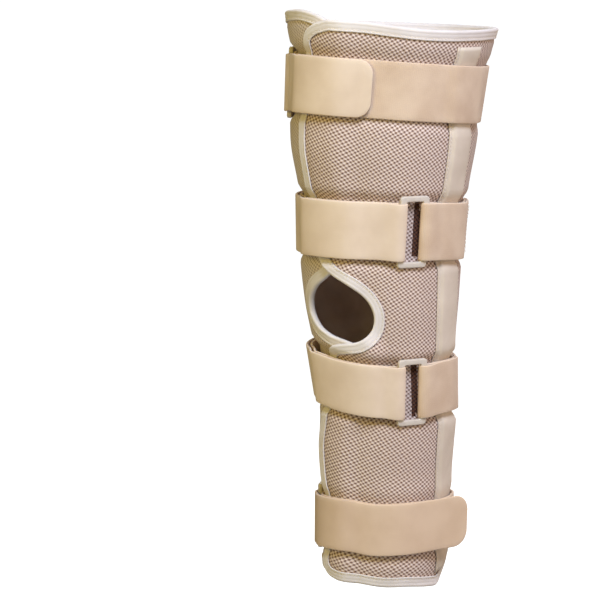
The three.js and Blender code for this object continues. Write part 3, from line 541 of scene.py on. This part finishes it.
cloth = {"Roughness": 0.9, "Specular IOR Level": 0.15, "Sheen Weight": 0.15, "Sheen Roughness": 0.5}
netCloth = makeMaterial("netCloth", openNet, {}, 0.0003, cloth)
# The under flap's net is drawn with little contrast, and lighter and cooler than the rest of the net, as
# painted light for that side.
underNet = makeMaterial("underNet", openNet, {
    "Yarn": tone(232, 217, 203), "Shade": tone(208, 190, 175), "Hole": tone(172, 151, 136)}, 0.0002, cloth)
# Painted shadow: the net in the half of each ring slot beside the tab's fold is drawn dark, as the shade
# under the fold.
slotShadowNet = makeMaterial("slotShadowNet", openNet, {
    "Yarn": tone(112, 76, 54), "Shade": tone(80, 48, 34), "Hole": tone(46, 22, 14)}, 0.0003, cloth)
liningCloth = makeMaterial("liningCloth", narrowWeave, {
    "Rib Pitch": 0.0012, "Yarn Pitch": 0.0012, "Fuzz": 0.4,
    "Light": tone(214, 196, 180), "Dark": tone(176, 152, 134)}, 0.0002, cloth)
bindingTape = makeMaterial("bindingTape", narrowWeave, {
    "Rib Pitch": 0.0008, "Yarn Pitch": 0.0011, "Fuzz": 0.3,
    "Light": tone(240, 231, 225), "Dark": tone(204, 191, 179)}, 0.00012, cloth)
casingCloth = makeMaterial("casingCloth", narrowWeave, {
    "Rib Pitch": 0.0010, "Yarn Pitch": 0.0010, "Fuzz": 0.35,
    "Light": tone(232, 216, 197), "Dark": tone(191, 172, 151)}, 0.00014, cloth)
strapPile = makeMaterial("strapPile", narrowWeave, {
    "Rib Pitch": 0.0016, "Yarn Pitch": 0.0016, "Fuzz": 0.85, "Depth": 0.55,
    "Light": tone(236, 212, 185), "Dark": tone(188, 155, 125)}, 0.00035, cloth)
smoothWeave = {"Rib Pitch": 0.0009, "Yarn Pitch": 0.0013, "Fuzz": 0.5, "Depth": 0.25}
strapBack = makeMaterial("strapBack", narrowWeave, smoothWeave | {
    "Light": tone(235, 213, 189), "Dark": tone(202, 175, 146)}, 0.00012, cloth)
lowStrapBack = makeMaterial("lowStrapBack", narrowWeave, smoothWeave | {
    "Light": tone(221, 194, 167), "Dark": tone(190, 158, 128)}, 0.00012, cloth)
hookTape = makeMaterial("hookTape", narrowWeave, {
    "Rib Pitch": 0.0015, "Yarn Pitch": 0.0015, "Fuzz": 0.1, "Depth": 0.8,
    "Light": tone(226, 204, 172), "Dark": tone(150, 124, 92)}, 0.0005, cloth)
thread = makeMaterial("thread", narrowWeave, {
    "Rib Pitch": 0.0004, "Yarn Pitch": 0.0004,
    "Light": tone(240, 228, 210), "Dark": tone(206, 188, 164)}, 0.00005, cloth)
ringPlastic = makeMaterial("ringPlastic", mouldedGrain, {
    "Clean": tone(208, 196, 183), "Scuffed": tone(186, 172, 157)}, 0.00002,
    {"Specular IOR Level": 0.4, "Coat Weight": 0.05}, onCloth=False)
print("materials made")


# The wrap: a flat pattern of columns and rows, cut to the outline and then laid round the leg.
panel = {
    "columns": 206, "rows": 146,
    "cut": 0.003,           # the cut edge of the cloth, inside the tape
    "margin": 0.0032,       # of the rows along the top and the bottom, inside the tape too
    "swell": 0.0055,        # over which the padding rises beside the tape
    "wrinkleSize": 0.05,
    "paintedShadowWidth": 0.008,     # from the middle of a slot to the fold of the tab, the width of the painted shadow
    "underFlap": 300,       # azimuth past which the cloth is the under flap
    "stations": 0.0015,     # pitch of the outline that the padding is measured from
}


def edgeDistance(az, z, outline):       # inwards from the outline, in metres
    found = np.empty(len(az))
    for i in range(0, len(az), 400):
        part = slice(i, i + 400)
        scale = degreeLength(z[part])[:, None]
        over = (az[part, None] - outline["az"]) * scale
        up = z[part, None] - outline["z"]
        nearest = np.argmin(over**2 + up**2, axis=1)
        row = np.arange(len(nearest))
        inward = outline["inward"][nearest] * np.stack([scale[:, 0], np.ones(len(nearest))], axis=1)
        found[part] = over[row, nearest] * inward[:, 0] + up[row, nearest] * inward[:, 1]
    return found


def flatCut(az, z):             # place on the flat cloth before it was wrapped, in metres
    turn = np.radians(az - wrap["grainAzimuth"]) * wrap["cone"]
    reach = wrap["apex"] + z
    return np.stack([reach * np.sin(turn), reach * np.cos(turn) - wrap["apex"]], axis=-1)


def inPaintedSlotShadow(az, z):              # in the half of the slot of a ring on the outer side beside the tab's fold, where shadow is painted on the cloth
    found = np.zeros(len(az), dtype=bool)
    for strap in strapRows:
        if strap["ring"] > 0:
            over = (az - strap["ring"]) * degreeLength(z)
            level = heightAt(readRows(strap["line"], 1, az))
            found |= (over > 0.0005) & (over < panel["paintedShadowWidth"]) & (np.abs(z - level) < strap["width"] / 2)
    return found


def makePanel():
    outline = wrapOutline(panel["stations"])
    bm = bmesh.new()
    flatMap = bm.loops.layers.uv.new(clothMap)
    bmesh.ops.create_grid(bm, x_segments=panel["columns"], y_segments=panel["rows"], size=0.5)
    low, high = min(az for az, at in outerFlapEdge), max(az for az, at in underFlapEdge)
    spots = np.array([vert.co[:] for vert in bm.verts])
    az = low + (high - low) * (spots[:, 0] + 0.5)
    share = spots[:, 1] + 0.5
    z = (bottomAt(az) + panel["margin"]) * (1 - share) + (topAt(az) - panel["margin"]) * share
    for vert, a, height in zip(bm.verts, az, z):
        vert.co = (a / 1000, height, 0)
    deep = edgeDistance(az, z, outline)
    bm.verts.index_update()
    outside = [vert for vert in bm.verts if deep[vert.index] < panel["cut"]]
    bmesh.ops.delete(bm, geom=outside, context="VERTS")
    second = bmesh.ops.extrude_face_region(bm, geom=bm.faces[:])["geom"]
    bmesh.ops.translate(bm, vec=(0, 0, -1), verts=[v for v in second if isinstance(v, bmesh.types.BMVert)])
    spots = np.array([vert.co[:] for vert in bm.verts])
    az, z, under = spots[:, 0] * 1000, spots[:, 1], spots[:, 2] < -0.5
    flat, slotShadowed = flatCut(az, z), inPaintedSlotShadow(az, z)
    bm.verts.index_update()
    for face in bm.faces:
        index = face.verts[0].index
        lining = all(under[loop.vert.index] for loop in face.loops)
        # Faces on the under flap take the net with painted light.
        onUnderFlap = az[index] > panel["underFlap"]
        # Faces in a ring slot beside the tab's fold take the net with painted shadow.
        face.material_index = 1 if lining else 2 if onUnderFlap else 3 if slotShadowed[index] else 0
        for loop in face.loops:
            loop[flatMap].uv = flat[loop.vert.index]
    deep = edgeDistance(az, z, outline)
    full = smooth((deep - wrap["tape"] + 0.001) / panel["swell"])
    half = wrap["tongue"] + (wrap["wall"] / 2 - wrap["tongue"]) * full
    layer = layerLift(az, z) - wrap["wall"] / 2
    body = onBody(az, z, 0 * az)
    uneven = wrinkle(body, wrap["wrinkle"], panel["wrinkleSize"], 3.0) * full
    off = layer + np.where(under, -half, half) + uneven
    for vert, place in zip(bm.verts, onBody(az, z, off)):
        vert.co = place
    bmesh.ops.recalc_face_normals(bm, faces=bm.faces)
    thing = finishObject("padded_wrap", bm, [netCloth, liningCloth, underNet, slotShadowNet])
    dress(thing, "wrap_mesh", "wrap_panel")


makePanel()
print("wrap made")

# Binding tape round every edge. Rows of the profiles are millimetres inwards and off the middle.
binding = {
    "step": 0.0016,
    "profile": [
        (8.9, 1.7), (9.1, 2.1), (9.0, 2.6), (8.5, 2.85), (7.9, 2.8), (7.3, 2.45), (6.8, 2.42), (6.0, 2.6),
        (4.8, 2.7), (3.8, 2.6), (3.2, 2.55), (2.6, 2.75), (1.8, 2.8), (0.9, 2.55), (0.2, 1.9), (-0.1, 1.0),
        (-0.2, 0.0),
    ],
    "innerProfile": [(8.7, -1.6), (4.0, -1.6), (0.9, -1.2), (0.9, 1.2), (4.0, 1.6), (8.7, 1.6)],
    "stitchInset": 7.05, "stitchOff": 2.42,
    "stitchPitch": 0.0032, "stitchLength": 0.0023, "threadRadius": 0.00022,
}


def onEdge(outline, inset, off):        # a point in millimetres from the edge and off the middle
    az = outline["az"] + outline["inward"][:, 0] * inset / 1000
    z = outline["z"] + outline["inward"][:, 1] * inset / 1000
    return onBody(az, z, layerLift(az, z) - wrap["wall"] / 2 + off / 1000)


def makeBinding():
    outline = wrapOutline(binding["step"])
    section = binding["profile"] + [(s, -o) for s, o in reversed(binding["profile"][:-1])]
    section += binding["innerProfile"] + section[:1]
    places = np.stack([onEdge(outline, s, o) for s, o in section], axis=1)
    places = np.concatenate([places, places[:1]])
    sides = [math.dist(a, b) / 1000 for a, b in zip(section, section[1:])]
    across = np.concatenate([[0], np.cumsum(sides)])
    run = np.append(outline["run"], outline["whole"])
    flat = np.stack(np.meshgrid(run, across, indexing="ij"), axis=-1)
    bm = loft(places, flat, aroundClosed=True, alongClosed=True)
    dress(finishObject("binding_tape", bm, [bindingTape]), "binding_tape", "edge_binding")
    bm = bmesh.new()
    bm.loops.layers.uv.new(clothMap)
    for side in (1, -1):
        seam = onEdge(outline, binding["stitchInset"], side * binding["stitchOff"])
        above = onEdge(outline, binding["stitchInset"], side * (binding["stitchOff"] + 1.5))
        seam, above = np.vstack([seam, seam[:1]]), np.vstack([above, above[:1]])
        stitchRow(bm, seam, above - seam, binding)
    dress(finishObject("binding_stitches", bm, [thread]), "binding_tape")


makeBinding()
print("binding made")

# Stay pocket on the outer side, in millimetres across and off the wrap. It turns in at its mouth.
casing = {
    "width": 33, "gap": 0.5, "skin": 0.8, "height": 3.0, "rim": 3.2,
    "mouth": 0.014, "foot": 0.0015, "turnIn": 0.016,    # from the top, from the tape and inside, in metres
    "spread": 9,            # degrees over which the foot clears the bottom edge
    "rows": 130, "seamInset": 2.2, "seamDip": 0.7,
    "stitchPitch": 0.0034, "stitchLength": 0.0024, "threadRadius": 0.00022,
}


def casingPoint(share, across, off):
    level = heightAt(share)
    az = readRows(casingLine, 1, share) + across / 1000 / degreeLength(level)
    lowest = np.max([bottomAt(az + side * casing["spread"]) for side in (-1, 0, 1)], axis=0)
    low = lowest + wrap["tape"] + casing["foot"]
    z = low + (topAt(az) - casing["mouth"] - low) * share
    return onBody(az, z, layerLift(az, z) + off / 1000)


def makeCasing():
    half, rim, roof = casing["width"] / 2, casing["rim"], casing["gap"] + casing["height"]
    floor, skin = casing["gap"], casing["skin"]
    seamOff = floor + skin * casing["seamDip"]
    top = [(-half, floor + 0.3), (-half + 0.3, floor + skin), (-half + 1.4, floor + skin + 0.1),
           (-half + casing["seamInset"], seamOff), (-half + rim, floor + skin + 0.25),
           (-half + rim + 1.4, roof - 0.5), (-half + rim + 3.0, roof), (-half + rim + 6.5, roof + 0.1),
           (0, roof + 0.15)]
    section = top + [(-s, o) for s, o in reversed(top[:-1])]
    section += [(s, floor) for s in np.linspace(half - 0.3, -half + 0.3, 12)]
    section.append(section[0])
    narrow = 1 - (rim + skin) / half
    hollow = [(s * narrow, max(floor + skin, min(o, roof - skin))) for s, o in section]
    shares = np.linspace(0, 1, casing["rows"])
    inShares = 1 - np.linspace(0, 1, 6) * casing["turnIn"] / wrap["length"]
    outer = np.stack([casingPoint(shares, s, o) for s, o in section], axis=1)
    inner = np.stack([casingPoint(inShares, s, o) for s, o in hollow], axis=1)
    places = np.concatenate([outer, inner])
    run = np.concatenate([shares, 1 + inShares[::-1]]) * wrap["length"]
    across = np.array([s for s, o in section]) / 1000
    flat = np.stack(np.meshgrid(run, across, indexing="ij"), axis=-1)
    bm = loft(places, flat, aroundClosed=True, capped=True)
    dress(finishObject("stay_pocket", bm, [casingCloth]), "casing_cloth", "stay_casing")
    bm = bmesh.new()
    bm.loops.layers.uv.new(clothMap)
    for side in (-1, 1):
        place = side * (half - casing["seamInset"])
        seam = casingPoint(shares, place, seamOff)
        stitchRow(bm, seam, casingPoint(shares, place, seamOff + 2) - seam, casing)
    dress(finishObject("pocket_stitches", bm, [thread]), "casing_cloth")


makeCasing()
print("stay pocket made")

# Straps and tabs with their hook tape, in metres
webbing = {
    "thickness": 0.002, "standOff": 0.0015,
    "passGap": 0.002, "tabGap": 0.0006,             # between a strap's passes and between a tab's
    "endRadius": 0.012, "looseRise": 0.07,
    "flareMiddle": -52, "flareReach": 48,           # azimuths of the edges that stand off
    "flapLead": 13, "flapRise": 11,                 # degrees over which a strap climbs onto the flap
    "shoulder": 0.0015, "shoulderFall": 0.007,      # where it comes down beside the stay pocket
    "beside": 0.012, "tuck": 0.0015,                # straight cloth and even cloth beside a ring's bar
    "step": 0.0024, "flatFaces": 12, "seamInset": 0.003, "sewnDown": 0.022,
    "stitchPitch": 0.0036, "stitchLength": 0.0026, "threadRadius": 0.00026,
}
hookPatch = {"thickness": 0.001, "length": 0.048, "narrower": 0.004, "gap": 0.0003}
ringShape = {
    "bar": 0.0055, "endBar": 0.0048, "opening": 0.016, "thickness": 0.004,
    "slack": 0.0012,        # beyond each edge of the strap
    "clearance": 0.0007,    # between the bar and the cloth folded round it
    "outerRadius": 0.0032, "innerRadius": 0.0018, "softEdge": 0.0011,
}


def groundUnder(strap, az, z):          # the lapped flap and the stay pocket, with soft shoulders
    middle = readRows(strap["line"], 1, 0)
    around = middle + np.array([-0.5, 0, 0.5]) * strap["width"] / wrap["length"]
    flapEdge = np.min(flapEdgeAt(around))
    lapStop = np.max(readRows(lapEnd, 1, around))
    climbed = smooth((az - flapEdge + webbing["flapLead"]) / webbing["flapRise"])
    lap = lapHeight * climbed * (1 - smooth((az - lapStop) / wrap["lapSlope"]))
    off = np.abs(az - readRows(casingLine, 1, shareAt(z))) * degreeLength(z) - casing["width"] / 2000
    rise = (casing["height"] + casing["gap"]) / 1000
    return lap + rise * (1 - smooth((off - webbing["shoulder"]) / webbing["shoulderFall"]))


def flapEdgeAt(share):
    return readRows([(at, az) for az, at in reversed(outerFlapEdge)], 1, share)


def layOn(strap, az, off):              # middle and width direction where a strap lies on the wrap
    az = np.asarray(az, dtype=float)
    middle = heightAt(readRows(strap["line"], 1, az))
    flared = 1 - smooth(np.abs(az - webbing["flareMiddle"]) / webbing["flareReach"])
    edges = []
    for side, flare in zip((0.5, -0.5), strap["flare"]):
        z = middle + side * strap["width"]
        edges.append(onBody(az, z, groundUnder(strap, az, z) + webbing["standOff"] + off + flare * flared))
    up = edges[0] - edges[1]
    return (edges[0] + edges[1]) / 2, up / np.linalg.norm(up, axis=-1)[..., None]


def unit(vector):
    return vector / np.linalg.norm(vector)


def ringAxes(strap):
    z = heightAt(readRows(strap["line"], 1, strap["ring"]))
    half, at = strap["width"] / 2, strap["ring"]
    up = unit(onBody(at, z + half, 0) - onBody(at, z - half, 0))
    around = unit(onBody(at + 1, z, 0) - onBody(at - 1, z, 0))
    out = unit(np.cross(around, up))
    up = np.array(Matrix.Rotation(math.radians(-strap["lean"]), 3, Vector(out)) @ Vector(up))
    around = unit(np.cross(up, out))
    off = (groundUnder(strap, at, z) + webbing["standOff"] + webbing["thickness"] + ringShape["clearance"]
           + ringShape["thickness"] / 2)
    return {"middle": onBody(at, z, off), "up": up, "around": around, "out": out}


def foldRound(axes, side):              # cloth folded round one long bar of a ring
    bar = side * (ringShape["opening"] + ringShape["bar"]) / 2
    reach = ringShape["thickness"] / 2 + ringShape["clearance"] + webbing["thickness"] / 2
    nose = ringShape["bar"] / 2 - ringShape["thickness"] / 2
    turns = np.linspace(0, math.pi, 15)
    along = np.concatenate([[side * (ringShape["opening"] / 2 + ringShape["bar"] + webbing["tuck"])],
                            bar - side * (nose + reach * np.sin(turns))])
    off = np.concatenate([[-reach], -reach * np.cos(turns)])
    along, off = np.append(along, along[0]), np.append(off, reach)
    centre = axes["middle"] + along[:, None] * axes["around"] + off[:, None] * axes["out"]
    return centre, np.repeat(axes["up"][None], len(centre), axis=0)


# Even stations along a band, with its own directions and the share of its width.
def bandPath(stretches, width, roundedEnd=False, settle=3):
    centre = np.concatenate([c for c, u in stretches])
    up = np.concatenate([u for c, u in stretches])
    run = np.concatenate([[0], np.cumsum(np.linalg.norm(np.diff(centre, axis=0), axis=1))])
    length, radius = run[-1], webbing["endRadius"]
    stop = length - radius if roundedEnd else length
    places = np.linspace(0, stop, max(2, round(stop / webbing["step"])) + 1)
    if roundedEnd:
        places = np.append(places, length - radius * (1 - np.sin(np.linspace(0.12, math.pi / 2, 11))))
    centre = np.stack([np.interp(places, run, centre[:, k]) for k in range(3)], axis=1)
    up = np.stack([np.interp(places, run, up[:, k]) for k in range(3)], axis=1)
    for _ in range(settle):
        centre[1:-1] = (centre[:-2] + 2 * centre[1:-1] + centre[2:]) / 4
        up[1:-1] = (up[:-2] + 2 * up[1:-1] + up[2:]) / 4
    t = np.clip(1 - (length - places) / radius, 0, 1) if roundedEnd else 0 * places
    share = 1 - 2 * radius * (1 - np.sqrt(1 - t**2)) / width
    along = np.gradient(centre, axis=0)
    out = np.cross(along, up)
    out /= np.linalg.norm(out, axis=1)[:, None]
    return {"centre": centre, "up": up, "out": out, "share": share, "run": places, "width": width}


def bandSection(width, thickness):      # sideways and outwards round a band with soft edges
    edge = thickness / 2
    flatPart = np.linspace(-width / 2 + edge, width / 2 - edge, webbing["flatFaces"] + 1)
    turns = np.linspace(0, math.pi, 6)[1:-1]
    section = [(s, edge) for s in flatPart]
    section += [(width / 2 - edge + edge * math.sin(t), edge * math.cos(t)) for t in turns]
    section += [(s, -edge) for s in flatPart[::-1]]
    section += [(-width / 2 + edge - edge * math.sin(t), -edge * math.cos(t)) for t in turns]
    return section + section[:1]


def onBand(path, sideways, outwards):
    return (path["centre"] + path["up"] * (sideways * path["share"])[:, None]
            + path["out"] * (outwards + 0 * path["share"])[:, None])


def makeBand(name, path, thickness, materials, slot, node, faceSwap=False):
    section = bandSection(path["width"], thickness)
    places = np.stack([onBand(path, s, o) for s, o in section], axis=1)
    flat = np.stack(np.meshgrid(path["run"], [s for s, o in section], indexing="ij"), axis=-1)
    pileSide = (webbing["flatFaces"] + 1) / (len(section) - 1)
    bm = loft(places, flat, aroundClosed=True, capped=True,
              materialOf=lambda across: int((across < pileSide) == faceSwap))
    dress(finishObject(name, bm, materials), slot, node)


def bandSeam(bm, path, start, end, across, lift):       # stitches along the band between two stations
    chosen = (path["run"] >= start) & (path["run"] <= end)
    part = {key: value[chosen] if isinstance(value, np.ndarray) else value for key, value in path.items()}
    seam = onBand(part, across, lift)
    outward = part["out"] * np.sign(lift)
    stitchRow(bm, seam, outward, webbing)


def crossSeam(bm, path, place, half, lift, lean=0.0):   # stitches across the band at one station
    near = min(range(len(path["run"])), key=lambda i: abs(path["run"][i] - place))
    centre, up, out = path["centre"][near], path["up"][near], path["out"][near]
    along = np.cross(up, out)
    ends = [centre + up * side * half + along * lean * side + out * lift for side in (-1, 1)]
    stitchRow(bm, ends, [out * np.sign(lift)] * 2, webbing)


def makeStrap(number, strap):
    middle = heightAt(readRows(strap["line"], 1, strap["ring"]))
    towards = 1 if strap["ring"] > strap["sewn"] else -1
    ringSpan = (ringShape["opening"] / 2 + ringShape["bar"] + webbing["beside"]) / degreeLength(middle)
    firstOff = webbing["thickness"] / 2
    secondOff = firstOff + webbing["thickness"] + webbing["passGap"]
    axes = ringAxes(strap)
    freeScale = degreeLength(heightAt(readRows(strap["line"], 1, strap["free"])))
    laid = strap["free"] if strap["loose"] else strap["free"] + towards * webbing["endRadius"] / freeScale

    def stretch(start, end, off):
        return layOn(strap, np.linspace(start, end, max(3, int(abs(end - start) / 1.5))), off)

    first = stretch(strap["sewn"], strap["ring"] - towards * ringSpan, firstOff)
    second = stretch(strap["ring"] - towards * ringSpan, laid, secondOff)
    leaving = unit(second[0][-1] - layOn(strap, laid + towards, secondOff)[0])
    leaving = unit(leaving + np.array([0, 0, webbing["looseRise"] if strap["loose"] else 0]))
    tail = np.array([1 / 3, 2 / 3, 1])[:, None] * (strap["loose"] or webbing["endRadius"]) * leaving
    end = (second[0][-1] + tail, np.repeat(second[1][-1:], 3, axis=0))
    path = bandPath([first, foldRound(axes, -towards), second, end], strap["width"], roundedEnd=True)
    backCloth = lowStrapBack if strap["loose"] else strapBack
    makeBand(f"webbing_strap_{number}", path, webbing["thickness"], [strapPile, backCloth], "strap_loop",
             f"strap_{number}", faceSwap=towards < 0)

    tabLower = stretch(strap["tab"], strap["ring"] + towards * ringSpan, firstOff)
    tabUpper = stretch(strap["ring"] + towards * ringSpan, strap["tab"],
                       firstOff + webbing["thickness"] + webbing["tabGap"])
    tab = bandPath([tabLower, foldRound(axes, towards), tabUpper], strap["width"])
    makeBand(f"webbing_tab_{number}", tab, webbing["thickness"], [strapPile, strapBack], "strap_loop",
             f"ring_tab_{number}", faceSwap=towards < 0)

    hookOff = webbing["thickness"] + webbing["passGap"] / 2
    if strap["loose"]:
        inwards = unit(np.cross(leaving, second[1][-1])) * towards
        under = firstOff + hookPatch["gap"] + hookPatch["thickness"] / 2
        start, stop = (end[0][-1] - leaving * back + inwards * under
                       for back in (strap["loose"] - 0.002, webbing["endRadius"] / 2))
        patch = (np.linspace(start, stop, 12), np.repeat(end[1][-1:], 12, axis=0))
    else:
        patch = stretch(laid + towards * hookPatch["length"] / freeScale, laid, hookOff)
    hook = bandPath([patch], strap["width"] - hookPatch["narrower"])
    makeBand(f"hook_tape_{number}", hook, hookPatch["thickness"], [hookTape, hookTape], "hook_tape",
             f"hook_patch_{number}")

    bm = bmesh.new()
    bm.loops.layers.uv.new(clothMap)
    face = -towards * webbing["thickness"] / 2
    inset = strap["width"] / 2 - webbing["seamInset"]
    start, stop = webbing["seamInset"], webbing["seamInset"] + webbing["sewnDown"]
    tabEnd, lean = tab["run"][-1], webbing["sewnDown"] / 2
    for side in (-1, 1):
        bandSeam(bm, path, start, stop, side * inset, face)
        bandSeam(bm, tab, tabEnd - stop, tabEnd - start, side * inset, -face)
        crossSeam(bm, path, start + lean, inset, face, side * lean)
        crossSeam(bm, tab, tabEnd - start - lean, inset, -face, side * lean)
    for place in (start, stop):
        crossSeam(bm, path, place, inset, face)
        crossSeam(bm, tab, tabEnd - place, inset, -face)
    for back in (webbing["endRadius"] / 2, hookPatch["length"]):
        crossSeam(bm, path, path["run"][-1] - back, inset - 0.002, -face)
    dress(finishObject(f"strap_stitches_{number}", bm, [thread]), "strap_loop")
    makeRing(number, strap, axes)


# Flat moulded ring: two rounded loops bridged, made thick and softened along its edges.
def roundedLoop(bm, width, height, radius):
    known = set(bm.edges)
    corners = bmesh.ops.create_grid(bm, x_segments=1, y_segments=1, size=0.5)["verts"]
    bmesh.ops.scale(bm, vec=(width, height, 1), verts=corners)
    bmesh.ops.bevel(bm, geom=corners, offset=radius, offset_type="OFFSET", segments=5, profile=0.5,
                    affect="VERTICES", material=-1)
    edges = [edge for edge in bm.edges if edge not in known]
    faces = list({face for edge in edges for face in edge.link_faces})
    bmesh.ops.delete(bm, geom=faces, context="FACES_ONLY")
    return edges


def makeRing(number, strap, axes):
    openingHeight = strap["width"] + 2 * ringShape["slack"]
    bm = bmesh.new()
    bm.loops.layers.uv.new(clothMap)
    outer = roundedLoop(bm, ringShape["opening"] + 2 * ringShape["bar"],
                        openingHeight + 2 * ringShape["endBar"], ringShape["outerRadius"])
    inner = roundedLoop(bm, ringShape["opening"], openingHeight, ringShape["innerRadius"])
    bmesh.ops.bridge_loops(bm, edges=outer + inner)
    raised = bmesh.ops.extrude_face_region(bm, geom=bm.faces[:])["geom"]
    bmesh.ops.translate(bm, vec=(0, 0, ringShape["thickness"]),
                        verts=[v for v in raised if isinstance(v, bmesh.types.BMVert)])
    bmesh.ops.recalc_face_normals(bm, faces=bm.faces)
    sharp = [edge for edge in bm.edges if edge.calc_face_angle(0) > math.radians(60)]
    bmesh.ops.bevel(bm, geom=sharp, offset=ringShape["softEdge"], offset_type="OFFSET", segments=4,
                    profile=0.5, affect="EDGES", material=-1)
    bmesh.ops.translate(bm, vec=(0, 0, -ringShape["thickness"] / 2), verts=bm.verts)
    turn = Matrix([axes["around"], axes["up"], axes["out"]]).transposed().to_4x4()
    bmesh.ops.transform(bm, matrix=Matrix.Translation(axes["middle"]) @ turn, verts=bm.verts)
    bmesh.ops.recalc_face_normals(bm, faces=bm.faces)
    dress(finishObject(f"moulded_ring_{number}", bm, [ringPlastic]), "ring_plastic", f"ring_{number}")


for strapNumber, strapRow in enumerate(strapRows, 1):
    makeStrap(strapNumber, strapRow)
print("straps, rings and hook tape made")
